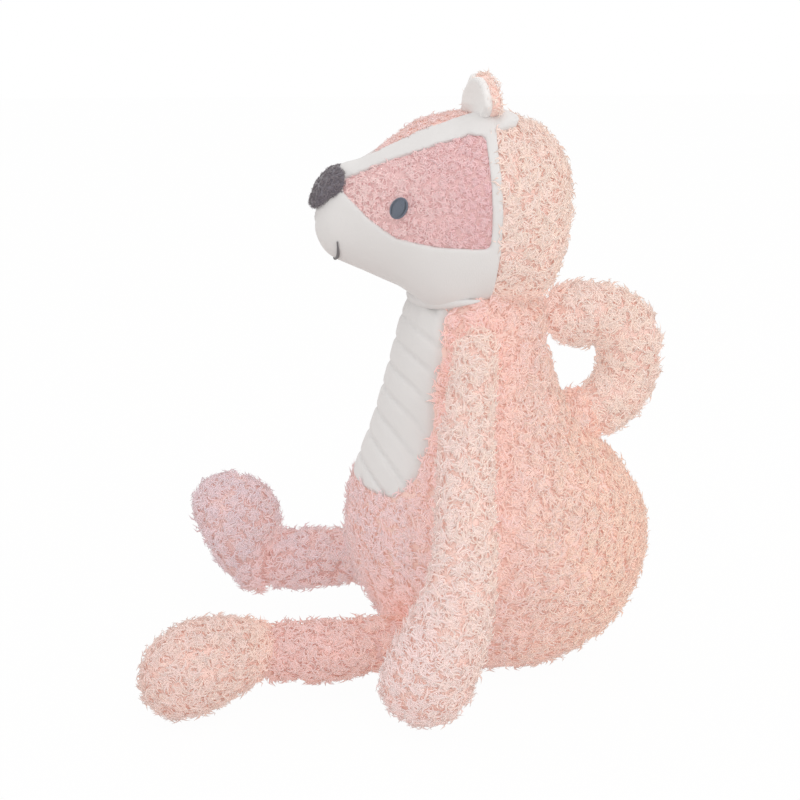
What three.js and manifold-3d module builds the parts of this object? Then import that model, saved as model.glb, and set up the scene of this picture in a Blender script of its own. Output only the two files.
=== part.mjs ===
import * as THREE from "three";
import { mergeVertices } from "three/addons/utils/BufferGeometryUtils.js";
import Module from "manifold-3d";

// Stuffed animal sitting on the floor, in millimetres. It faces -Y, its left side is at +X, and +Z is up.
// The origin is the centre of the flat seat.

// Cloth and clearances
const PILE_CLOTH = 4;
const HEAD_CLOTH = 3.2;
const CLEAR = 0.3;

// Torso, a pear that leans forward towards the neck
const TORSO_HEIGHT = 154;
const TORSO_WIDTH = 126;
const TORSO_DEPTH = 131;
const TORSO_LEAN = 12;

// White ribbed panel on the belly
const PANEL_WIDTH = 77;
const PANEL_BOTTOM = 75;
const RIB_PITCH = 10;
const RIB_HEIGHT = 1.1;
const RIB_ARCH = 13;

// Head, a blunt cone from the nose to the round back
const HEAD_LENGTH = 105.5;
const HEAD_HEIGHT = 77;
const HEAD_WIDTH = 81;
const HEAD_BACK = 28;
const HOOD_LENGTH = 36.5;
const MUZZLE_ROUND = 12;
const SKULL_ROUND = 20;

// Face: white band behind the eye patches, forehead strip, nose, eyes and mouth
const BAND_WIDTH = 4.5;
const PATCH_LENGTH = 54;
const STRIP_WIDTH = 26;
const STRIP_LENGTH = 48.5;
const NOSE_WIDTH = 27;
const NOSE_HEIGHT = 20.4;
const NOSE_DEPTH = 13.6;
const NOSE_LEAN = 34;
const NOSE_SETBACK = 4.3;
const NOSE_RISE = 12;
const NOSE_PAD = 2.6;
const EYE_SIZE = 8.2;
const EYE_DEPTH = 1.3;
const EYE_SETBACK = 30.5;
const EYE_RISE = 6.3;
const MOUTH_SETBACK = 7;
const MOUTH_SPREAD = 58;
const THREAD = 1.4;

// Ears
const EAR_WIDTH = 21;
const EAR_HEIGHT = 15;
const EAR_SPACING = 30;
const EAR_FORWARD = 38;
const EAR_YAW = 40;
const EAR_CUP = 22;
const EAR_CLOTH = 3.4;
const EAR_LINING = 1.8;

// Arms, each hanging from its shoulder seam
const SHOULDER_DROP = 16;
const SHOULDER_SETBACK = -16;
const SHOULDER_RADIUS = 8.5;
const HAND_RADIUS = 17;
const HAND_ABOVE_FLOOR = 3.5;
const HAND_FORWARD = 21;
const ARM_GAP = 2.2;

// Legs and feet
const HIP_HEIGHT = 25;
const HIP_ANGLE = 43;
const HIP_RADIUS = 9.5;
const HIP_SINK = 0.6;
const LEG_LENGTH = 60;
const LEG_RADIUS = 12;
const ANKLE_RADIUS = 9.5;
const HEEL_RADIUS = 13;
const FOOT_RADIUS = 18.5;
const FOOT_LENGTH = 45;
const FOOT_ABOVE_FLOOR = 0.5;
const LEFT_SPLAY = 2;
const LEFT_FOOT_TURN = 30;
const FOOT_LIFT = 70;

// Tail, a ring that starts low on the back and comes back to it
const TAIL_ROOT_DROP = 57;
const TAIL_TIP_DROP = 9.3;
const TAIL_ROOT_RADIUS = 11;
const TAIL_RADIUS = 13;
const TAIL_TIP_RADIUS = 12;
const TAIL_OUT = 12;

// Sewing openings at the heels and at the root of the tail
const OPENING_RADIUS = 4.5;

// Farther than any piece reaches
const FAR = 400;

const wasm = await Module();
wasm.setup();

const deg = THREE.MathUtils.degToRad;

// Closed geometry to solid
function toSolid(geometry) {
  const bare = new THREE.BufferGeometry();
  bare.setAttribute("position", geometry.getAttribute("position").clone());
  if (geometry.index) {
    bare.setIndex(geometry.index.clone());
  }
  const welded = mergeVertices(bare, 1e-4);
  const vertProperties = new Float32Array(welded.getAttribute("position").array);
  const triVerts = new Uint32Array(welded.index.array);
  return new wasm.Manifold(new wasm.Mesh({ numProp: 3, vertProperties, triVerts }));
}

// Solid to geometry
function toGeometry(solid) {
  const mesh = solid.getMesh();
  const corners = new Float32Array(mesh.numVert * 3);
  for (let i = 0; i < mesh.numVert; i += 1) {
    for (let k = 0; k < 3; k += 1) {
      corners[i * 3 + k] = mesh.vertProperties[i * mesh.numProp + k];
    }
  }
  const geometry = new THREE.BufferGeometry();
  geometry.setAttribute("position", new THREE.BufferAttribute(corners, 3));
  geometry.setIndex(new THREE.BufferAttribute(new Uint32Array(mesh.triVerts), 1));
  return geometry;
}

// Smooth curve through a table of [position, value] rows
function through(rows) {
  const slopes = rows.map((row, i) => {
    const before = rows[Math.max(i - 1, 0)];
    const after = rows[Math.min(i + 1, rows.length - 1)];
    return (after[1] - before[1]) / (after[0] - before[0]);
  });
  return (position) => {
    let i = 0;
    while (i < rows.length - 2 && position > rows[i + 1][0]) {
      i += 1;
    }
    const span = rows[i + 1][0] - rows[i][0];
    const s = THREE.MathUtils.clamp((position - rows[i][0]) / span, 0, 1);
    const rise = s * s * (3 - 2 * s);
    const leave = s * (1 - s) * (1 - s) * span * slopes[i];
    const arrive = s * s * (s - 1) * span * slopes[i + 1];
    return rows[i][1] * (1 - rise) + rows[i + 1][1] * rise + leave + arrive;
  };
}

// Skin over rings of points, closed by a fan to a tip at each end
function skin(rings, firstTip, lastTip) {
  const sides = rings[0].length;
  const points = rings.flat();
  points.push(firstTip, lastTip);
  const first = points.length - 2;
  const last = points.length - 1;
  const index = [];
  for (let side = 0; side < sides; side += 1) {
    const next = (side + 1) % sides;
    index.push(first, next, side);
    for (let row = 0; row < rings.length - 1; row += 1) {
      const a = row * sides + side;
      const b = row * sides + next;
      index.push(a, b, b + sides, a, b + sides, a + sides);
    }
    const top = (rings.length - 1) * sides;
    index.push(last, top + side, top + next);
  }
  const geometry = new THREE.BufferGeometry().setFromPoints(points);
  geometry.setIndex(index);
  return geometry;
}

// Stuffed tube with round ends along a curve, where across points away from every part of the curve's run
function stuffedTube(path, radiusAt, across, sides, rows, grow = 0) {
  const curve = new THREE.CatmullRomCurve3(path);
  const rings = [];
  const addRing = (centre, along, size) => {
    const other = new THREE.Vector3().crossVectors(along, across).normalize();
    const level = new THREE.Vector3().crossVectors(other, along);
    const ring = [];
    for (let side = 0; side < sides; side += 1) {
      const turn = (side / sides) * 2 * Math.PI;
      const point = centre.clone();
      point.addScaledVector(level, Math.cos(turn) * size);
      point.addScaledVector(other, Math.sin(turn) * size);
      ring.push(point);
    }
    rings.push(ring);
  };
  const start = curve.getPointAt(0);
  const startAlong = curve.getTangentAt(0);
  const startSize = radiusAt(0) + grow;
  const end = curve.getPointAt(1);
  const endAlong = curve.getTangentAt(1);
  const endSize = radiusAt(1) + grow;
  const bend = [deg(28), deg(60)];
  for (const angle of bend) {
    const centre = start.clone().addScaledVector(startAlong, -Math.cos(angle) * startSize);
    addRing(centre, startAlong, Math.sin(angle) * startSize);
  }
  for (let row = 0; row <= rows; row += 1) {
    const u = row / rows;
    addRing(curve.getPointAt(u), curve.getTangentAt(u), radiusAt(u) + grow);
  }
  for (const angle of bend.slice().reverse()) {
    const centre = end.clone().addScaledVector(endAlong, Math.cos(angle) * endSize);
    addRing(centre, endAlong, Math.sin(angle) * endSize);
  }
  const firstTip = start.clone().addScaledVector(startAlong, -startSize);
  const lastTip = end.clone().addScaledVector(endAlong, endSize);
  return skin(rings, firstTip, lastTip);
}

// Box between two corners
function boxBetween(low, high) {
  const geometry = new THREE.BoxGeometry(high[0] - low[0], high[1] - low[1], high[2] - low[2]);
  geometry.translate((low[0] + high[0]) / 2, (low[1] + high[1]) / 2, (low[2] + high[2]) / 2);
  return geometry;
}

// Outline moved inwards by a distance, its points running anticlockwise
function inset(points, distance) {
  return points.map((point, i) => {
    const before = points[(i + points.length - 1) % points.length];
    const after = points[(i + 1) % points.length];
    const a = point.clone().sub(before).normalize();
    const b = after.clone().sub(point).normalize();
    const normal = new THREE.Vector2(-a.y - b.y, a.x + b.x).normalize();
    const stretch = Math.max(normal.dot(new THREE.Vector2(-a.y, a.x)), 0.5);
    return point.clone().addScaledVector(normal, distance / stretch);
  });
}

// Round rod between two points
function rod(from, to, radius, sides = 10) {
  const along = to.clone().sub(from);
  const geometry = new THREE.CylinderGeometry(radius, radius, along.length(), sides);
  const turn = new THREE.Quaternion().setFromUnitVectors(new THREE.Vector3(0, 1, 0), along.clone().normalize());
  geometry.applyQuaternion(turn);
  const middle = from.clone().add(to).multiplyScalar(0.5);
  geometry.translate(middle.x, middle.y, middle.z);
  return geometry;
}

// Mirror image across the middle plane of the animal
function mirrored(geometry) {
  const copy = geometry.clone();
  copy.scale(-1, 1, 1);
  const index = copy.index.array;
  for (let i = 0; i < index.length; i += 3) {
    const swap = index[i + 1];
    index[i + 1] = index[i + 2];
    index[i + 2] = swap;
  }
  return copy;
}

// Torso form: half width, half depth and middle at each height
const torsoWidthAt = through([
  [0, 0.38], [0.026, 0.57], [0.085, 0.77], [0.19, 0.92], [0.344, 1],
  [0.5, 0.88], [0.63, 0.685], [0.76, 0.55], [0.89, 0.505], [1, 0.46],
]);
const torsoDepthAt = through([
  [0, 0.38], [0.026, 0.58], [0.085, 0.8], [0.19, 0.935], [0.344, 1],
  [0.5, 0.888], [0.63, 0.684], [0.76, 0.542], [0.89, 0.473], [1, 0.432],
]);
const torsoMiddleAt = through([
  [0, 0], [0.085, 0.2], [0.19, 0.06], [0.344, -0.17], [0.5, -0.48],
  [0.63, -0.89], [0.76, -1.21], [0.89, -1.13], [1, -0.92],
]);

function torsoPoint(height, turn, grow = 0) {
  const f = height / TORSO_HEIGHT;
  return new THREE.Vector3(
    Math.sin(turn) * (torsoWidthAt(f) * TORSO_WIDTH / 2 + grow),
    torsoMiddleAt(f) * TORSO_LEAN - Math.cos(turn) * (torsoDepthAt(f) * TORSO_DEPTH / 2 + grow),
    height,
  );
}

function torsoNormal(height, turn) {
  const up = torsoPoint(height + 1, turn).sub(torsoPoint(height - 1, turn));
  const around = torsoPoint(height, turn + 0.02).sub(torsoPoint(height, turn - 0.02));
  return new THREE.Vector3().crossVectors(around, up).normalize();
}

function torsoSkin(grow, low, high, sides) {
  const steps = [0, 0.03, 0.085, 0.17, 0.27, 0.37, 0.48, 0.59, 0.71, 0.85, 1];
  const rings = steps.map((step) => {
    const ring = [];
    for (let side = 0; side < sides; side += 1) {
      ring.push(torsoPoint(low + (high - low) * step, (side / sides) * 2 * Math.PI, grow));
    }
    return ring;
  });
  const middle = (height) => torsoPoint(height, 0).lerp(torsoPoint(height, Math.PI), 0.5);
  return skin(rings, middle(low), middle(high));
}

const torsoSides = 20;
const torsoOuter = toSolid(torsoSkin(0, 0, TORSO_HEIGHT, torsoSides));
const torsoHollow = toSolid(torsoSkin(-PILE_CLOTH, PILE_CLOTH, TORSO_HEIGHT + 6, torsoSides));

// Outline of the belly panel seen from the front: it widens downwards and has round lower corners
function panelOutline(grow) {
  const half = PANEL_WIDTH / 2;
  const rise = TORSO_HEIGHT - PANEL_BOTTOM;
  const side = [
    [0.62, 1.3], [0.63, 1], [0.73, 0.78], [0.78, 0.58], [0.89, 0.38], [0.985, 0.2],
    [1, 0.1], [0.92, 0.035], [0.73, 0.005], [0.42, 0],
  ].map(([x, z]) => new THREE.Vector2(x * half, PANEL_BOTTOM + z * rise));
  const other = side.map((point) => new THREE.Vector2(-point.x, point.y)).reverse();
  return inset(other.concat(side).reverse(), -grow);
}

// Prism along Y over an outline of X and Z
function frontPrism(points, near, far) {
  const geometry = new THREE.ExtrudeGeometry(new THREE.Shape(points), { depth: far - near, bevelEnabled: false });
  geometry.rotateX(Math.PI / 2);
  geometry.translate(0, far, 0);
  return geometry;
}

const panelBack = -14;
const panelWindow = toSolid(frontPrism(panelOutline(0), -FAR, panelBack));
const panelLimit = toSolid(frontPrism(panelOutline(-CLEAR), -FAR, panelBack - CLEAR));

// Ribbed sheet over the front of the torso: each rib arches down towards the sides
function ribbedSheet() {
  const low = PANEL_BOTTOM - 4;
  const columns = 8;
  const reach = deg(64);
  const ribs = Math.round((TORSO_HEIGHT - low) / RIB_PITCH);
  const rowCount = ribs * 2;
  const rings = [];
  for (let row = 0; row <= rowCount; row += 1) {
    const height = low + ((TORSO_HEIGHT - low) * row) / rowCount;
    const ring = [];
    for (let column = 0; column <= columns; column += 1) {
      const turn = -reach + (2 * reach * column) / columns;
      const phase = (height + RIB_ARCH * (turn / reach) ** 2) / RIB_PITCH;
      const wave = RIB_HEIGHT * Math.abs(Math.cos(Math.PI * phase));
      ring.push(torsoPoint(height, turn, wave));
    }
    for (const turn of [reach, 0.5 * reach, 0, -0.5 * reach, -reach]) {
      ring.push(torsoPoint(height, turn, -PILE_CLOTH * 2));
    }
    rings.push(ring);
  }
  const middle = (height) => torsoPoint(height, 0, -PILE_CLOTH / 2);
  return skin(rings, middle(low), middle(TORSO_HEIGHT));
}

const torsoShell = torsoOuter.subtract(torsoHollow);
const torsoCover = toGeometry(torsoShell.subtract(panelWindow));
const bellyPanel = toGeometry(toSolid(ribbedSheet()).subtract(torsoHollow).intersect(panelLimit));
const fillSpan = toSolid(boxBetween([-FAR, -FAR, PILE_CLOTH + CLEAR], [FAR, FAR, TORSO_HEIGHT]));
const fillBlank = toSolid(torsoSkin(-PILE_CLOTH - CLEAR, PILE_CLOTH, TORSO_HEIGHT + 6, torsoSides));
const torsoFill = toGeometry(fillBlank.intersect(fillSpan));

// Head form: half height, half width and middle at each place from the nose to the back
const headHeightAt = through([
  [0, 0.235], [0.109, 0.241], [0.194, 0.295], [0.299, 0.368], [0.431, 0.451],
  [0.545, 0.486], [0.659, 0.5], [0.81, 0.483], [1, 0.483],
]);
const headWidthAt = through([
  [0, 0.18], [0.109, 0.185], [0.194, 0.247], [0.299, 0.333], [0.431, 0.42],
  [0.545, 0.475], [0.659, 0.5], [0.81, 0.475], [1, 0.475],
]);
const headMiddleAt = through([
  [0, 0.426], [0.109, 0.426], [0.194, 0.425], [0.299, 0.427], [0.431, 0.451],
  [0.545, 0.453], [0.659, 0.453], [0.81, 0.434], [1, 0.4],
]);
const headSquare = 0.88;
const headFront = HEAD_BACK - HEAD_LENGTH;
const muzzleEnd = headFront + MUZZLE_ROUND;
const skullStart = HEAD_BACK - SKULL_ROUND;
const faceSeam = HEAD_BACK - HOOD_LENGTH;

function headPoint(y, turn, grow = 0) {
  const f = (y - headFront) / HEAD_LENGTH;
  const ahead = THREE.MathUtils.clamp((muzzleEnd - y) / (MUZZLE_ROUND + grow), 0, 1);
  const behind = THREE.MathUtils.clamp((y - skullStart) / (SKULL_ROUND + grow), 0, 1);
  const end = Math.sqrt(Math.max(1 - ahead * ahead, 0)) * Math.sqrt(Math.max(1 - behind * behind, 0));
  const square = (value) => Math.sign(value) * Math.abs(value) ** headSquare;
  return new THREE.Vector3(
    square(Math.sin(turn)) * (headWidthAt(f) * HEAD_WIDTH + grow) * end,
    y,
    TORSO_HEIGHT + headMiddleAt(f) * HEAD_HEIGHT + square(Math.cos(turn)) * (headHeightAt(f) * HEAD_HEIGHT + grow) * end,
  );
}

function headNormal(y, turn) {
  const along = headPoint(y + 0.5, turn).sub(headPoint(y - 0.5, turn));
  const around = headPoint(y, turn + 0.02).sub(headPoint(y, turn - 0.02));
  return new THREE.Vector3().crossVectors(around, along).normalize();
}

function headSkin(grow, sides) {
  const places = [];
  for (const angle of [18, 40, 64]) {
    places.push(muzzleEnd - Math.cos(deg(angle)) * (MUZZLE_ROUND + grow));
  }
  for (let i = 0; i <= 7; i += 1) {
    places.push(muzzleEnd + ((skullStart - muzzleEnd) * i) / 7);
  }
  for (const angle of [66, 44, 20]) {
    places.push(skullStart + Math.cos(deg(angle)) * (SKULL_ROUND + grow));
  }
  const rings = places.map((y) => {
    const ring = [];
    for (let side = 0; side < sides; side += 1) {
      ring.push(headPoint(y, (side / sides) * 2 * Math.PI, grow));
    }
    return ring;
  });
  return skin(rings, headPoint(headFront - grow, 0, grow), headPoint(HEAD_BACK + grow, 0, grow));
}

const headSides = 20;
const aboveNeck = toSolid(boxBetween([-FAR, -FAR, TORSO_HEIGHT + CLEAR], [FAR, FAR, FAR]));
const headOuter = toSolid(headSkin(0, headSides));
const headCleared = toSolid(headSkin(CLEAR, headSides));
const headHollow = toSolid(headSkin(-HEAD_CLOTH, headSides));
const headShell = headOuter.subtract(headHollow).intersect(aboveNeck);
const headFill = toGeometry(toSolid(headSkin(-HEAD_CLOTH - CLEAR, headSides)).intersect(aboveNeck));

// The back of the head meets the face at one upright seam
const behindSeam = toSolid(boxBetween([-FAR, faceSeam, 0], [FAR, FAR, FAR]));
const beforeSeam = toSolid(boxBetween([-FAR, -FAR, 0], [FAR, faceSeam - CLEAR, FAR]));
const headBackCover = toGeometry(headShell.intersect(behindSeam));
const faceShell = headShell.intersect(beforeSeam);

// Outline of the coloured patch round the eye, seen from the side: shares of its length forward and of the head's height
const patchOutline = [
  [1, 0.571], [0.815, 0.435], [0.63, 0.344], [0.37, 0.314], [0.028, 0.305],
  [0, 0.325], [0, 0.844], [0.028, 0.864], [0.352, 0.812], [0.722, 0.708], [0.981, 0.63],
].map(([ahead, above]) => new THREE.Vector2(
  faceSeam - BAND_WIDTH - ahead * PATCH_LENGTH,
  TORSO_HEIGHT + above * HEAD_HEIGHT,
));

// Prism along X over an outline of Y and Z
function sidePrism(points, near, far) {
  const geometry = new THREE.ExtrudeGeometry(new THREE.Shape(points), { depth: far - near, bevelEnabled: false });
  geometry.rotateY(Math.PI / 2);
  geometry.rotateX(Math.PI / 2);
  geometry.translate(near, 0, 0);
  return geometry;
}

// Outline of the strip down the middle of the forehead, seen from above
const stripSide = [[0.3, 0.876], [0.66, 0.65], [0.92, 0.381], [1, -0.08]];
const stripOutline = [
  [0, 1], ...stripSide, ...stripSide.map(([x, ahead]) => [-x, ahead]).reverse(),
].map(([x, ahead]) => new THREE.Vector2((x * STRIP_WIDTH) / 2, faceSeam - ahead * STRIP_LENGTH));

function topPrism(points, low, high) {
  const geometry = new THREE.ExtrudeGeometry(new THREE.Shape(points), { depth: high - low, bevelEnabled: false });
  geometry.translate(0, 0, low);
  return geometry;
}

const stripLow = TORSO_HEIGHT + 0.45 * HEAD_HEIGHT;
const patchNear = 2;
const patchCut = toSolid(sidePrism(patchOutline, patchNear, FAR));
const patchPiece = toSolid(sidePrism(inset(patchOutline, CLEAR), patchNear, FAR));
const stripCut = toSolid(topPrism(stripOutline, stripLow, FAR));
const stripPiece = toSolid(topPrism(inset(stripOutline, CLEAR), stripLow, FAR));
const leftHalf = toSolid(boxBetween([CLEAR / 2, -FAR, 0], [FAR, FAR, FAR]));

const leftPatch = toGeometry(faceShell.intersect(patchPiece));
const foreheadStrip = toGeometry(faceShell.intersect(stripPiece));
const leftFace = toGeometry(faceShell.intersect(leftHalf).subtract(patchCut).subtract(stripCut));

// Height of the head's middle line at a place behind the tip of the muzzle
const middleBehindTip = (setback) => TORSO_HEIGHT + headMiddleAt(setback / HEAD_LENGTH) * HEAD_HEIGHT;

// Oval with its long half leaning back from upright
function leaningOval(centre, longHalf, shortHalf, lean) {
  const points = [];
  const steps = 14;
  for (let i = 0; i < steps; i += 1) {
    const angle = (i / steps) * 2 * Math.PI;
    const a = Math.cos(angle) * longHalf;
    const b = Math.sin(angle) * shortHalf;
    const x = centre.x + a * Math.sin(lean) - b * Math.cos(lean);
    const y = centre.y + a * Math.cos(lean) + b * Math.sin(lean);
    points.push(new THREE.Vector2(x, y));
  }
  return points;
}

// Padded nose that wraps the upper front of the muzzle, oval from the side and from the front
const noseHeight = middleBehindTip(NOSE_SETBACK) + NOSE_RISE;
const noseSide = new THREE.Vector2(headFront + NOSE_SETBACK, noseHeight);
const noseSideOval = leaningOval(noseSide, NOSE_HEIGHT / 2, NOSE_DEPTH / 2, deg(NOSE_LEAN));
const noseFrontOval = leaningOval(new THREE.Vector2(0, noseHeight), NOSE_HEIGHT / 2, NOSE_WIDTH / 2, 0);
const noseBlank = toSolid(headSkin(NOSE_PAD, headSides)).subtract(headCleared);
const noseFromSide = noseBlank.intersect(toSolid(sidePrism(noseSideOval, -FAR, FAR)));
const nose = toGeometry(noseFromSide.intersect(toSolid(frontPrism(noseFrontOval, -FAR, FAR))));

// Embroidered eye, a low oval dome on the patch
function headTurnFor(y, rise) {
  const share = rise / (headPoint(y, 0).z - headPoint(y, Math.PI / 2).z);
  return Math.acos(Math.sign(share) * Math.abs(share) ** (1 / headSquare));
}

function eyeDome() {
  const y = headFront + EYE_SETBACK;
  const turn = headTurnFor(y, EYE_RISE);
  const centre = headPoint(y, turn, CLEAR);
  const normal = headNormal(y, turn);
  const geometry = new THREE.SphereGeometry(1, 12, 6);
  geometry.scale(EYE_SIZE / 2, EYE_SIZE * 0.46, EYE_DEPTH);
  const back = normal.clone();
  const level = new THREE.Vector3(0, 1, 0).addScaledVector(back, -back.y).normalize();
  const upward = new THREE.Vector3().crossVectors(back, level);
  geometry.applyMatrix4(new THREE.Matrix4().makeBasis(level, upward, back));
  geometry.translate(centre.x, centre.y, centre.z);
  return toGeometry(toSolid(geometry).subtract(headCleared));
}

const leftEye = eyeDome();

// Embroidered mouth, one thread under the muzzle whose ends turn up at the sides
function mouthThread() {
  const path = [];
  for (let i = 0; i <= 8; i += 1) {
    const share = i / 4 - 1;
    const turn = Math.PI + share * deg(MOUTH_SPREAD);
    const y = headFront + MOUTH_SETBACK + THREAD * share * share;
    const lift = THREAD / 2 + CLEAR + 0.1;
    path.push(headPoint(y, turn).addScaledVector(headNormal(y, turn), lift));
  }
  const curve = new THREE.CatmullRomCurve3(path);
  const sides = 5;
  const rows = 10;
  const rings = [];
  for (let row = 0; row <= rows; row += 1) {
    const along = curve.getTangentAt(row / rows);
    const across = new THREE.Vector3(0, 1, 0).addScaledVector(along, -along.y).normalize();
    const other = new THREE.Vector3().crossVectors(along, across);
    const ring = [];
    for (let side = 0; side < sides; side += 1) {
      const turn = (side / sides) * 2 * Math.PI;
      const point = curve.getPointAt(row / rows);
      point.addScaledVector(across, (Math.cos(turn) * THREAD) / 2);
      point.addScaledVector(other, (Math.sin(turn) * THREAD) / 2);
      ring.push(point);
    }
    rings.push(ring);
  }
  return skin(rings, curve.getPointAt(0), curve.getPointAt(1));
}

const mouth = mouthThread();

// Ear in its own frame: base along X, opening towards -Y, rolled lower edge at the origin
const earRoll = (EAR_CLOTH + EAR_LINING + CLEAR) / 2;
const earHem = 1.2;

function earOutline(grow) {
  const half = EAR_WIDTH / 2 + grow;
  const points = [new THREE.Vector2(-half * 0.8, 0), new THREE.Vector2(half * 0.8, 0)];
  for (let i = 0; i <= 10; i += 1) {
    const angle = (i / 10) * Math.PI;
    const x = Math.cos(angle) * half;
    const z = EAR_HEIGHT * 0.35 + Math.sin(angle) * (EAR_HEIGHT * 0.65 + grow);
    points.push(new THREE.Vector2(x, z));
  }
  return points;
}

function earPlate(outerRadius, innerRadius, grow) {
  const ball = (radius) => {
    const geometry = new THREE.SphereGeometry(radius, 28, 18);
    geometry.translate(0, -EAR_CUP, EAR_HEIGHT * 0.4);
    return toSolid(geometry);
  };
  const limit = toSolid(frontPrism(earOutline(grow), -EAR_CUP / 2, EAR_CUP));
  return ball(outerRadius).subtract(ball(innerRadius)).intersect(limit);
}

function earBack() {
  const plate = earPlate(EAR_CUP + earRoll, EAR_CUP + earRoll - EAR_CLOTH, 0);
  const half = EAR_WIDTH * 0.36;
  const roll = rod(new THREE.Vector3(-half, 0, 0), new THREE.Vector3(half, 0, 0), earRoll, 12);
  const lining = toSolid(boxBetween([-FAR, -FAR, -FAR], [FAR, earRoll - EAR_CLOTH, FAR]));
  return toGeometry(plate.add(toSolid(roll).subtract(lining)));
}

const earLining = toGeometry(earPlate(EAR_CUP + earRoll - EAR_CLOTH - CLEAR, EAR_CUP - earRoll, -earHem));

// Arm in its own frame: shoulder at the origin, hanging towards -Z, bowed out past the torso
const shoulderHeight = TORSO_HEIGHT - SHOULDER_DROP;
const shoulderFoot = (shoulderHeight - 1.8 * SHOULDER_RADIUS) / TORSO_HEIGHT;
const shoulderFace = torsoWidthAt(shoulderFoot) * TORSO_WIDTH / 2 + CLEAR;
const armDrop = shoulderHeight - HAND_ABOVE_FLOOR - HAND_RADIUS;
const armRadiusAt = through([
  [0, SHOULDER_RADIUS], [0.15, SHOULDER_RADIUS + 0.7], [0.35, HAND_RADIUS * 0.65],
  [0.62, HAND_RADIUS * 0.7], [0.76, HAND_RADIUS * 0.84], [0.9, HAND_RADIUS], [1, HAND_RADIUS],
]);
const armForwardAt = through([[0, 0], [0.35, 0.32], [0.62, 0.4], [0.76, 0.56], [0.9, 0.86], [1, 1]]);

function armPath() {
  const path = [new THREE.Vector3(SHOULDER_RADIUS * 0.2, 0, 0)];
  for (const share of [0.11, 0.24, 0.42, 0.6, 0.76, 0.88, 1]) {
    const height = Math.max(shoulderHeight - share * armDrop, TORSO_HEIGHT * 0.344);
    const side = torsoWidthAt(height / TORSO_HEIGHT) * TORSO_WIDTH / 2;
    const x = side + armRadiusAt(share) + ARM_GAP - shoulderFace;
    path.push(new THREE.Vector3(x, -HAND_FORWARD * armForwardAt(share), -share * armDrop));
  }
  return path;
}

const armAcross = new THREE.Vector3(0, 1, 0);
const armRoot = toSolid(boxBetween([0, -FAR, -FAR], [FAR, FAR, FAR]));
const armSolid = (grow) => toSolid(stuffedTube(armPath(), armRadiusAt, armAcross, 10, 9, grow));
const armCover = toGeometry(armSolid(0).subtract(armSolid(-PILE_CLOTH)).intersect(armRoot));
const armFill = toGeometry(armSolid(-PILE_CLOTH - CLEAR).intersect(armRoot));

// Leg in its own frame: hip ball at the origin, running towards -Y to the heel
const legAcross = new THREE.Vector3(1, 0, 0);
const legRadiusAt = through([
  [0, HIP_RADIUS], [0.3, LEG_RADIUS * 0.97], [0.55, LEG_RADIUS], [0.8, LEG_RADIUS * 0.93], [1, ANKLE_RADIUS],
]);
const legPath = [0, 0.33, 0.66, 1].map((share) => new THREE.Vector3(0, -share * LEG_LENGTH, 0));

// Foot in its own frame: heel ball at the origin, toe towards -Y
const footRadiusAt = through([
  [0, HEEL_RADIUS], [0.35, (HEEL_RADIUS + FOOT_RADIUS) / 2 + 0.6], [0.75, FOOT_RADIUS], [1, FOOT_RADIUS * 0.97],
]);
const footSpan = FOOT_LENGTH - FOOT_RADIUS * 0.97;
const footPath = [0, 0.33, 0.66, 1].map((share) => new THREE.Vector3(0, -share * footSpan, 0));
const footSolid = (grow) => toSolid(stuffedTube(footPath, footRadiusAt, legAcross, 12, 3, grow));

// Space that a foot needs at the end of its leg, from hanging a little to fully lifted
function ankleSweep(turn) {
  let sweep = null;
  for (const share of [0, 0.8, 1]) {
    const geometry = stuffedTube(footPath, footRadiusAt, legAcross, 12, 3, CLEAR * 2.4);
    geometry.rotateZ(deg(turn));
    geometry.rotateX(-deg(share * (FOOT_LIFT + 1)));
    geometry.translate(0, -LEG_LENGTH, 0);
    const solid = toSolid(geometry);
    sweep = sweep ? sweep.add(solid) : solid;
  }
  return sweep;
}

const legSolid = (grow) => toSolid(stuffedTube(legPath, legRadiusAt, legAcross, 10, 5, grow));

function legPieces(footTurn) {
  const ankle = ankleSweep(footTurn);
  const cover = legSolid(0).subtract(legSolid(-PILE_CLOTH)).subtract(ankle);
  const fill = legSolid(-PILE_CLOTH - CLEAR).subtract(ankle);
  return [toGeometry(cover), toGeometry(fill)];
}

function footPieces(towardsLeg) {
  const opening = toSolid(rod(new THREE.Vector3(), towardsLeg.clone().multiplyScalar(HEEL_RADIUS * 2), OPENING_RADIUS));
  const cover = footSolid(0).subtract(footSolid(-PILE_CLOTH)).subtract(opening);
  const fill = footSolid(-PILE_CLOTH - CLEAR);
  return [toGeometry(cover), toGeometry(fill)];
}

// Tail in its own frame: root ball at the origin, in the middle plane of the animal
const tailHeight = TORSO_HEIGHT - TAIL_ROOT_DROP;
const tailSeat = torsoPoint(tailHeight, Math.PI);
const tailOutward = torsoNormal(tailHeight, Math.PI);
const tailRoot = tailSeat.clone().addScaledVector(tailOutward, TAIL_ROOT_RADIUS + CLEAR * 1.7);
const tipHeight = TORSO_HEIGHT - TAIL_TIP_DROP;
const tailRise = tipHeight - tailRoot.z;
const tipPlace = torsoPoint(tipHeight, Math.PI).y + TAIL_TIP_RADIUS + CLEAR + 0.4;
const tailTip = tipPlace - tailRoot.y;
const tailPath = [
  [0, 0],
  [TAIL_OUT * 0.68, tailRise * 0.2],
  [TAIL_OUT, tailRise * 0.53],
  [TAIL_OUT * 0.58, tailRise * 0.87],
  [(TAIL_OUT * 0.58 + tailTip) / 2, tailRise],
  [tailTip, tailRise],
].map(([y, z]) => new THREE.Vector3(0, y, z));
const tailRadiusAt = through([
  [0, TAIL_ROOT_RADIUS], [0.2, TAIL_RADIUS * 0.93], [0.45, TAIL_RADIUS], [0.75, TAIL_RADIUS * 0.9], [1, TAIL_TIP_RADIUS],
]);
const tailSolid = (grow) => toSolid(stuffedTube(tailPath, tailRadiusAt, legAcross, 10, 11, grow));
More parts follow.
